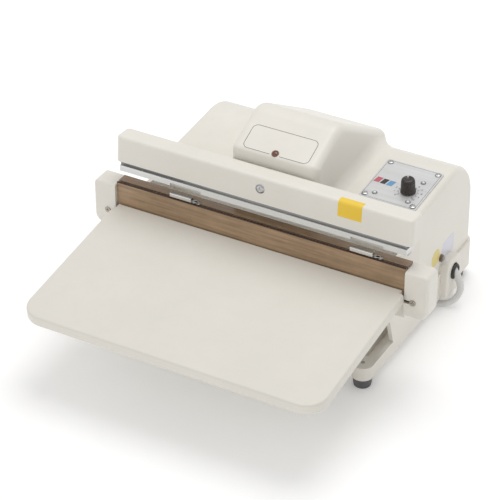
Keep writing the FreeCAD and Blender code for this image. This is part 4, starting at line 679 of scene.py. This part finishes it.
def makeClips():
    c = clipShape
    things = []
    for start in c["starts"]:
        rings = []
        for along, grow in ((0, 0.0), (0.5, 0.05), (1.4, 0.0), (c["length"] / 2, 0.0),
                (c["length"] - 1.4, 0.0),
                            (c["length"] - 0.5, 0.05), (c["length"], 0.0)):
            outer = cornered(c["depth"] + 2 * grow, c["height"] + grow, 1.15, steps=6)
            inner = cornered(c["depth"] - 2 * c["wall"], c["height"] - 2 * c["wall"], 0.75, steps=6)
            used = 3 * (len(outer) // 4)
            section = [(c["depth"] / 2 + grow, -0.6)] + outer[:used] + [(1.0, -c["height"] / 2)]
            section += [(1.0,
                    c["wall"] - c["height"] / 2)] + inner[:used][::-1] + [(c["depth"] / 2 - c["wall"],
                            -0.6)]
            rings.append([place(start + along, c["middle"] + y, c["floor"] + c["height"] / 2 + z) for y,
                    z in section])
        things.append(loft("clipRoll", rings, "clipChrome"))
        tab = cornered(c["tab"] + 1, 3.8, 1.5, centre=(start + c["length"] + c["tab"] / 2 - 0.5, 0.6))
        flat = [[place(x, c["middle"] + y, z) for x, y in tab] for z in (c["floor"] + 0.05,
                c["floor"] + 0.55)]
        things.append(loft("clipTab", flat, "clipChrome", smooth=False))
    clips = fasten(merged("clothClips", things, "clipChrome"), "frame")
    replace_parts(clips, "sheet_clips")
    for index, start in enumerate(c["starts"]):
        screwX = start + c["length"] + c["tab"] / 2
        route = [(start + 20, 1.0, 2.0), (start + 23, 1.3, 2.1), (start + 26, 1.6, 1.9),
                 (screwX - 2.0, 1.9, 1.8),
                 (screwX + 1.8, 1.9, 1.8), (screwX + 2.6, -0.3, 1.7), (screwX + 0.6, -2.2, 1.7),
                 (screwX - 2.0, -1.6, 1.7)]
        route = [(x, c["middle"] + y, c["floor"] + z) for x, y, z in route]
        data = smoothCurve(f"clipWire{index}", route, 12)
        data.bevel_depth = c["wire"] * mm
        data.bevel_resolution = 4
        wire = addObject(f"clipWire{index}", data)
        data.materials.append(paint["clipChrome"])
        fasten(wire, "frame")


# Hump: a thin frame line round a bare field, and the lamp with its rim
humpShape = dict(half=35.3, front=2.4, back=30.8, corner=5.5, width=0.5, gap=10.5, lampBack=4.5,
        lampRadius=2.7)


def makeHumpDetail():
    h = humpShape
    lamp = h["lampRadius"]
    depth = h["back"] - h["front"]
    loop = cornered(2 * h["half"], depth, h["corner"], centre=(0, (h["front"] + h["back"]) / 2), steps=8)
    # the loop is opened at its front, where the lamp sits
    lastCorner = 3 * (len(loop) // 4)
    around = [(h["gap"] / 2, h["front"])] + loop[lastCorner:] + loop[:lastCorner] + [(-h["gap"] / 2,
            h["front"])]
    frameLine = line("namePlaceLine", around, h["width"], 0.06, "printGrey", at(onHump, 0, 0, 0.0))
    fasten(frameLine, "frame")
    rim = [(lamp - 0.1, 0.15), (lamp - 0.1, 0.75), (lamp + 0.25, 0.95), (lamp + 0.75, 0.8),
           (lamp + 1.0, 0.3), (lamp + 1.0, -0.4)]
    ring = lathe("lampRim", rim, "collarBrown", at(onHump, 0, h["lampBack"]))
    fasten(ring, "frame")
    dome = [(lamp - 0.12, -1.5), (lamp - 0.12, 0.55), (2.2, 0.95), (1.5, 1.25), (0.8, 1.4), (0.1, 1.45)]
    lens = fasten(lathe("lampLens", dome, "lampRed", at(onHump, 0, h["lampBack"])), "frame")
    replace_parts(lens, "hump_lamp")


# Control panel: frame line, dial, coloured patches, lamp rings and the fluted knob
panelShape = dict(left=69.5, right=129.5, front=5, back=71, lift=1.5, knobX=110.6, knobY=29.5,
                  lamps=((82.1, 14.6), (117.6, 14.6), (117.6, 48.9)), lampRadius=1.6, line=0.3)


def makePanelDetail():
    p = panelShape
    lamp, knobX, knobY = p["lampRadius"], p["knobX"], p["knobY"]
    face = at(onCover, 0, 0, p["lift"])
    wide, deep = p["right"] - p["left"] - 3.0, p["back"] - p["front"] - 3.0
    middle = ((p["left"] + p["right"]) / 2, (p["front"] + p["back"]) / 2)
    border = line("panelFrameLine", cornered(wide, deep, 2.0, centre=middle), p["line"], 0.05, "printGrey",
            face, closed=True)
    fasten(border, "frame")
    dial = []
    for step in range(11):
        turn = math.radians(225 - 27 * step)
        inner, outer = 9.6, 11.0 if step % 5 else 11.8
        path = [(knobX + reach * math.cos(turn), knobY + reach * math.sin(turn)) for reach in (inner,
                outer)]
        dial.append(line("dialTick", path, 0.6, 0.05, "printGrey", face))
    arc = [(knobX + 9.2 * math.cos(math.radians(225 - 270 * step / 40)),
            knobY + 9.2 * math.sin(math.radians(225 - 270 * step / 40))) for step in range(41)]
    dial.append(line("dialArc", arc, 0.22, 0.05, "printGrey", face))
    fasten(merged("dialScale", dial, "printGrey"), "frame")
    for step in range(11):
        turn = math.radians(225 - 27 * step)
        data = bpy.data.curves.new(f"dialNumber{step}", "FONT")
        data.body = str(step)
        data.size = 3.4 * mm
        data.extrude = 0.03 * mm
        data.align_x = "CENTER"
        data.align_y = "CENTER"
        number = addObject(f"dialNumber{step}", data)
        number.matrix_world = at(face, knobX + 13.4 * math.cos(turn), knobY + 13.4 * math.sin(turn), 0.03)
        data.materials.append(paint["printGrey"])
        fasten(number, "frame")
    slant = 1.6
    for name, start, end, low, finish in (("patchRed", 72.0, 78.0, 31.5, "printRed"),
            ("patchBlack", 79.2, 84.6, 31.0, "printAndShadeBlack"),
                                          ("patchBlue", 85.8, 92.0, 30.6, "printBlue")):
        outline = [(start, low), (end, low), (end + slant, low + 8.4), (start + slant, low + 8.4)]
        fasten(sheetPiece(name, outline, 0.05, finish, face), "frame")
    rings = []
    for x, y in p["lamps"]:
        edge = [(lamp + 0.12, 0.0), (lamp + 0.12, 0.55), (lamp + 0.4, 0.8), (lamp + 0.9, 0.6),
                (lamp + 1.15, 0.0)]
        rings.append(lathe("lampRing", edge, "printGrey", at(face, x, y)))
    fasten(merged("panelLampRings", rings, "ringGrey"), "frame")
    domes = []
    for x, y in p["lamps"]:
        dome = [(lamp, -3.5), (lamp, 0.7), (1.3, 1.1), (0.8, 1.35), (0.1, 1.42)]
        domes.append(lathe("lampDome", dome, "clearLens", at(face, x, y)))
    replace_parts(fasten(merged("panelLenses", domes, "clearLens"), "frame"),
                "indicator_lenses")


knobShape = dict(skirt=7.7, grip=7.1, top=6.6, height=15.0, skirtHeight=2.6, lift=2.3, flutes=22,
        depth=0.36, dome=2.4, pointAt=118)


def makeKnob():
    k = knobShape
    skirt, grip, dome = k["skirt"], k["grip"], k["dome"]
    low, high = k["skirtHeight"] + 1.2, k["height"] - dome

    def fluted(radius, height, angle):
        if low <= height <= high + 0.01:
            return radius - k["depth"] * (0.5 + 0.5 * math.cos(k["flutes"] * angle)) ** 0.6
        return radius
    profile = [(skirt - 0.5, 0.0), (skirt, 0.4), (skirt, 1.5), (skirt - 0.3, 2.1),
               (grip + 0.35, k["skirtHeight"]),
               (grip + 0.05, k["skirtHeight"] + 0.6)]
    steps = 9
    for step in range(steps + 1):
        share = step / steps
        profile.append((grip + (k["top"] + 0.15 - grip) * share, low + (high - low) * share))
    for degrees in range(0, 91, 15):
        turn = math.radians(degrees)
        profile.append((k["top"] - dome + dome * math.cos(turn), high + dome * math.sin(turn)))
    profile += [(3.4, k["height"] - 0.1), (3.1, k["height"] - 0.45), (0.1, k["height"] - 0.5)]
    spot = at(onCover, panelShape["knobX"], panelShape["knobY"], k["lift"])
    knob = fasten(lathe("knobGrip", profile, "knobPlastic", spot, count=160, wave=fluted), "knob")
    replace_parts(knob, "timer_knob")
    turn = math.radians(k["pointAt"])
    aim = spot @ Matrix.Rotation(turn, 4, "Z")
    top, width = k["height"], 0.55
    section = [(2.6, top - 0.3), (4.6, top - 0.12), (5.6, top - 0.75), (6.1, top - 2.0), (6.55, low + 2.0),
               (7.0, low)]
    rings = [[Vector((reach, side * width, level + up)) * mm for side,
              up in ((-1, -0.5), (1, -0.5), (1, 0.22), (-1, 0.22))]
             for reach, level in section]
    pointer = loft("knobPointer", rings, "pointerWhite", matrix=aim)
    softEdges(pointer, 0.12)
    fasten(pointer, "knob")


# Dark strips of painted shade: in the rail's groove, along the cloth front plate's top edge and over the
# slots of the end blocks
stripShape = dict(grooveHalf=155.2, grooveFront=6.0, grooveBack=6.3, grooveLow=136.4, grooveHigh=140.0,
                  edgeShadeHalf=157.2, edgeShadeHigh=0.7, edgeShadeSkin=0.14, slotFrom=158.2, slotTo=164.6,
                  slotZ=94.0, slotHalf=1.1)


def makeStrips():
    t = stripShape
    # painted shade: a dark strip laid in the rail's groove, where the groove's walls fall in shade
    section = cornered(t["grooveBack"] - t["grooveFront"], t["grooveHigh"] - t["grooveLow"], 0.12,
                       centre=((t["grooveBack"] + t["grooveFront"]) / 2,
                               (t["grooveHigh"] + t["grooveLow"]) / 2), steps=3)
    rings = [[place(x, y, z) for y, z in section] for x in (-t["grooveHalf"], t["grooveHalf"])]
    fasten(loft("grooveShadeStrip", rings, "paintedGrooveShade", matrix=onBar), "arm")
    low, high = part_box("bed_front_plate")
    # painted shade: a dark strip along the top front edge of the cloth front plate, standing for the
    # shadowed gap there
    front, back, top = low.y, high.y, high.z
    skin = t["edgeShadeSkin"] * mm
    section = [(front - skin, top - t["edgeShadeHigh"] * mm), (front - skin, top + skin * 0.4),
               (front - skin * 0.4, top + skin),
               (back, top + skin), (back, top + 0.01 * mm), (front - 0.01 * mm, top + 0.01 * mm),
               (front - 0.01 * mm, top - t["edgeShadeHigh"] * mm)]
    rings = [[Vector((x * mm, y, z)) for y, z in section] for x in (-t["edgeShadeHalf"], t["edgeShadeHalf"])]
    fasten(loft("plateEdgeShade", rings, "paintedEdgeShade"), "frame")
    # painted shade: thin black sheets on the end blocks' front faces, over their slots
    shades = []
    for side in (1, -1):
        outline = [(side * t["slotFrom"], t["slotZ"] - t["slotHalf"]),
                   (side * t["slotTo"], t["slotZ"] - t["slotHalf"]),
                   (side * t["slotTo"], t["slotZ"] + t["slotHalf"]),
                   (side * t["slotFrom"], t["slotZ"] + t["slotHalf"])]
        shades.append(sheetPiece("slotShade", outline if side > 0 else outline[::-1], 0.05, "printAndShadeBlack",
                                 placedAt(0, 0, 0) @ towardsFront))
    fasten(merged("blockSlotShade", shades, "printAndShadeBlack"), "frame")


# Plain sticky patches on the press bar and the right side
patchShape = dict(barLeft=82.5, barRight=107.5, barLow=151.2, barFront=4.5, barTop=167.6, barEdge=3.0,
        over=12, sheet=0.12,
                  side=136.5, yellow=(108.9, 127.3, 55.6, 74.0), yellowCorner=9.1,
                  pale=(134, 160, 53.5, 72), paleCorner=1.0)


def makePatches():
    p = patchShape
    front, top, edge = p["barFront"], p["barTop"], p["barEdge"]
    rings = []
    profile = [(front, p["barLow"]), (front, top - edge)]
    for degrees in range(10, 90, 10):
        turn = math.radians(degrees)
        profile.append((front + edge * (1 - math.cos(turn)), top - edge * (1 - math.sin(turn))))
    profile += [(front + edge, top), (p["over"], top)]
    for y, z in profile:
        if y <= front + edge and z > top - edge:
            out = (Vector((y, z)) - Vector((front + edge, top - edge))).normalized()
        elif z <= top - edge:
            out = Vector((-1, 0))
        else:
            out = Vector((0, 1))
        near = Vector((y, z)) + out * 0.02
        far = Vector((y, z)) + out * p["sheet"]
        rings.append([place(p["barLeft"], near.x, near.y), place(p["barRight"], near.x, near.y),
                      place(p["barRight"], far.x, far.y), place(p["barLeft"], far.x, far.y)])
    wrap = loft("barPatch", rings, "yellowLabel", matrix=onBar, smooth=False)
    fasten(wrap, "arm")
    sideFace = placedAt(p["side"], 0, 0) @ Matrix(((0, 0, 1, 0), (1, 0, 0, 0), (0, 1, 0, 0), (0, 0, 0, 1)))
    for name, sides, corner, finish in (("sidePatchYellow", p["yellow"], p["yellowCorner"], "yellowFaded"),
                                        ("sidePatchPale", p["pale"], p["paleCorner"], "paleLabel")):
        outline = boxed(*sides, corner, steps=6)
        fasten(sheetPiece(name, outline, p["sheet"], finish, sideFace), "frame")


# Rubber feet with a rounded tread and a hollow for the screw
footShape = dict(side=127.95, front=-21.6, rear=186, radius=9.9, low=8.5, height=10.9)


def makeFeet():
    f = footShape
    profile = [(2.1, 5.6), (3.75, 5.5), (3.8, 1.0), (4.5, 0.25), (5.2, 0.0), (f["low"] - 0.9, 0.0),
               (f["low"] - 0.2, 0.3),
               (f["low"] + 0.05, 1.2), (f["low"] + 0.35, 3.0), (f["low"] + 0.2, 3.3), (f["low"] + 0.5, 3.7),
               (f["radius"] - 0.25, 9.0),
               (f["radius"], 9.6), (f["radius"], 10.5), (f["radius"] - 0.4, f["height"]),
               (2.1, f["height"])]
    feet = []
    for x in (f["side"], -f["side"]):
        for y in (f["front"], f["rear"]):
            feet.append(lathe("footRubber", profile, "footRubber", placedAt(x, y, 0)))
    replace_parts(fasten(merged("rubberFeetShaped", feet, "footRubber"), "frame"),
                "rubber_feet")


# Mains cord: the points are those of the route in the part's source, then the turns of the coil
cordRoute = dict(
    radius=3.2, side=138.7, back=143.5, height=37.5, rest=3.3, coilX=-26, coilY=256.6, coilRadius=36,
    coilHeight=9.6,
    ring=6.4, turns=6, perTurn=16, plugY=292.6, plugHeight=7, bootLength=24)


def cordPoints():
    c = cordRoute
    side, back = c["side"], c["back"]
    rest = c["rest"]
    spots = [(side - 4.3, back + 1.5, c["height"] + 8.5), (side + 19.8, back - 1, c["height"] - 6.9),
             (side + 12.8, back - 9, rest), (side - 17.7, back - 19, rest), (side - 46.7, back - 16, rest),
             (side - 72.7, back + 6, rest), (36, 170.6, rest), (10, 192.1, rest)]
    spots += [(11, 222, rest + 0.4), (14.2, 240, rest + 1.6)]
    total = c["turns"] * c["perTurn"]
    for step in range(total + 1):
        turned = step / c["perTurn"]
        lay = math.radians(-30 - 60 * turned)
        out = c["ring"] * math.cos(lay)
        up = c["ring"] * math.sin(lay)
        leave = turned - (c["turns"] - 0.42)
        if leave > 0:
            share = min(1.0, leave / 0.30)
            share = share * share * (3 - 2 * share)
            out += (11.3 * math.cos(math.radians(14)) - out) * share
            up += (11.3 * math.sin(math.radians(14)) * (1 - max(0.0, leave - 0.3) * 3) - up) * share
        angle = 2 * math.pi * turned
        reach = c["coilRadius"] + out
        spots.append((c["coilX"] + reach * math.cos(angle), c["coilY"] + reach * math.sin(angle),
                c["coilHeight"] + up))
    for degrees, reach, height in ((24, 46.6, 7.6), (48, 46.2, 5.2), (72, 46.0, 3.9)):
        angle = math.radians(degrees)
        spots.append((c["coilX"] + reach * math.cos(angle), c["coilY"] + reach * math.sin(angle), height))
    spots += [(-28, 302.4, 3.6), (-40, 300.0, 4.4), (-52, 296.6, 6.0), (-62, 293.4, 6.9),
              (-72, c["plugY"], c["plugHeight"])]
    return spots


def splinePoints(data):
    # the smooth line that Blender draws through the control points
    guide = addObject("cordGuide", data)
    bpy.context.view_layer.update()
    mesh = bpy.data.meshes.new_from_object(guide)
    points = [vertex.co.copy() for vertex in mesh.vertices]
    bpy.data.objects.remove(guide)
    bpy.data.meshes.remove(mesh)
    return points


def tubeAlong(name, points, radiusAt, finish, count=32):
    rings, travelled = [], 0.0
    side = None
    for index, point in enumerate(points):
        before, after = points[max(index - 1, 0)], points[min(index + 1, len(points) - 1)]
        along = (after - before).normalized()
        if side is None:
            side = along.orthogonal().normalized()
        side = (side - along * side.dot(along)).normalized()
        other = along.cross(side)
        if index:
            travelled += (point - points[index - 1]).length
        reach = radiusAt(travelled / mm) * mm
        turns = [2 * math.pi * step / count for step in range(count)]
        rings.append([point + (side * math.cos(turn) + other * math.sin(turn)) * reach for turn in turns])
    return loft(name, rings, finish)


bootShape = dict(wide=4.5, narrowing=1.05, cuff=4.6, cuffLength=2.6, ribDepth=0.22, ribEvery=3.2,
                 ribsFrom=3, tip=0.25, tipFrom=0.97, start=144.0)
tieShape = dict(angle=205, steps=48, reach=9.75, wave=0.25, corners=6, lock=10.6,
                section=((0.0, -2.2), (0.0, 2.2), (0.75, 1.9), (0.75, -1.9)))


def makeCord():
    c, b, t = cordRoute, bootShape, tieShape
    spots = cordPoints()
    data = smoothCurve("mainsCord", spots, 8)
    traced = splinePoints(data)
    length = sum((after - before).length for before, after in zip(traced, traced[1:]))
    data.bevel_depth = c["radius"] * mm
    data.bevel_resolution = 6
    data.use_fill_caps = True
    cord = addObject("mainsCord", data)
    data.materials.append(paint["cordSheath"])
    fasten(cord, "frame")
    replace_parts(cord, "power_cord", "cord_coil")
    print("cord length", round(length, 4))

    # Moulded bend relief: a ribbed sleeve that gets thinner along the cord's first bend
    start = next(index for index, point in enumerate(traced) if point.x > b["start"] * mm)
    dense = []
    for before, after in zip(traced[start:start + 60], traced[start + 1:start + 61]):
        for step in range(8):
            dense.append(before.lerp(after, step / 8))

    def sleeve(travelled):
        share = min(travelled / c["bootLength"], 1.0)
        body = b["wide"] - b["narrowing"] * share
        rib = 0.0
        if b["ribsFrom"] < travelled < c["bootLength"] - b["ribsFrom"]:
            rib = b["ribDepth"] * (0.5 + 0.5 * math.cos(2 * math.pi * travelled / b["ribEvery"]))
        if travelled < b["cuffLength"]:
            body = b["cuff"]
        if share > b["tipFrom"]:
            body -= b["tip"] * (share - b["tipFrom"]) / 0.03
        return body - rib

    travelled, kept = 0.0, [dense[0]]
    for before, after in zip(dense, dense[1:]):
        travelled += (after - before).length / mm
        if travelled > c["bootLength"]:
            break
        kept.append(after)
    fasten(tubeAlong("cordBoot", kept, sleeve, "cordSheath"), "frame")
    flange = [(4.5, -1.0), (8.15, -0.05), (8.2, 0.9), (7.9, 1.9), (7.1, 2.7), (6.0, 3.0), (5.2, 2.6),
              (4.6, 1.2)]
    collar = lathe("cordCollar", flange, "bootRubber",
                   placedAt(146.0, c["back"], c["height"]) @ towardsRight)
    fasten(collar, "frame")
    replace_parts(collar, "cord_grommet")

    # Twist tie round the bundle
    tieAngle = math.radians(t["angle"])
    radial = Vector((math.cos(tieAngle), math.sin(tieAngle), 0))
    along = Vector((-math.sin(tieAngle), math.cos(tieAngle), 0))
    centre = place(c["coilX"] + c["coilRadius"] * math.cos(tieAngle),
            c["coilY"] + c["coilRadius"] * math.sin(tieAngle), c["coilHeight"])
    rings = []
    for step in range(t["steps"]):
        turn = 2 * math.pi * step / t["steps"]
        outward = radial * math.cos(turn) + Vector((0, 0, 1)) * math.sin(turn)
        hexagon = t["reach"] + t["wave"] * math.cos(t["corners"] * turn)
        section = []
        for reach, slide in t["section"]:
            level = hexagon + reach
            point = centre + (outward * level + along * slide) * mm
            point.z = max(point.z, 0.05 * mm)
            section.append(point)
        rings.append(section)
    tie = loft("coilTie", rings, "tieBlack", closed=True)
    fasten(tie, "frame")
    knotRings = []
    for slide, half in ((-3.2, 1.2), (-2.6, 1.9), (2.6, 1.9), (3.2, 1.2)):
        knotRings.append([centre + (radial * x + along * slide + Vector((0, 0, 1)) * (t["lock"] + z)) * mm
                          for x, z in cornered(2 * half, half * 1.5, half * 0.5)])
    knot = loft("coilTieLock", knotRings, "tieBlack")
    fasten(knot, "frame")

    # Plug: a moulded body that narrows to the cord, with grip ribs
    plugRings = []
    for x, halfWide, halfHigh in ((-104.0, 11.2, 6.2), (-103.4, 11.9, 6.9), (-98, 12, 7), (-92, 11.9, 7),
            (-86, 11.0, 6.8), (-81, 9.4, 6.4),
                                  (-78, 7.2, 5.8), (-77, 6.0, 5.4), (-75.5, 5.8, 5.3), (-75, 5.2, 4.8),
                                  (-73.6, 5.1, 4.7), (-73.1, 5.5, 5.1),
                                  (-71.6, 5.4, 5.0), (-71.1, 4.8, 4.4), (-69.7, 4.7, 4.3),
                                  (-69.2, 5.0, 4.6), (-67.6, 4.9, 4.5), (-66.9, 4.2, 4.0),
                                  (-64.6, 4.0, 3.8), (-64, 3.5, 3.4)):
        plugRings.append([place(x, c["plugY"] + y, c["plugHeight"] + z)
                          for y, z in cornered(2 * halfWide, 2 * halfHigh, min(halfWide, halfHigh) * 0.72,
                                  steps=8)])
    plug = loft("mainsPlug", plugRings, "plugGrey")
    fasten(plug, "frame")
    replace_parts(plug, "plug_body")


makeScrews()
makeClips()
print("screws and clips")
makeStrips()
makeHumpDetail()
makePanelDetail()
makeKnob()
makePatches()
print("hump, panel, knob and patches")
makeFeet()
makeCord()
print("feet and cord")
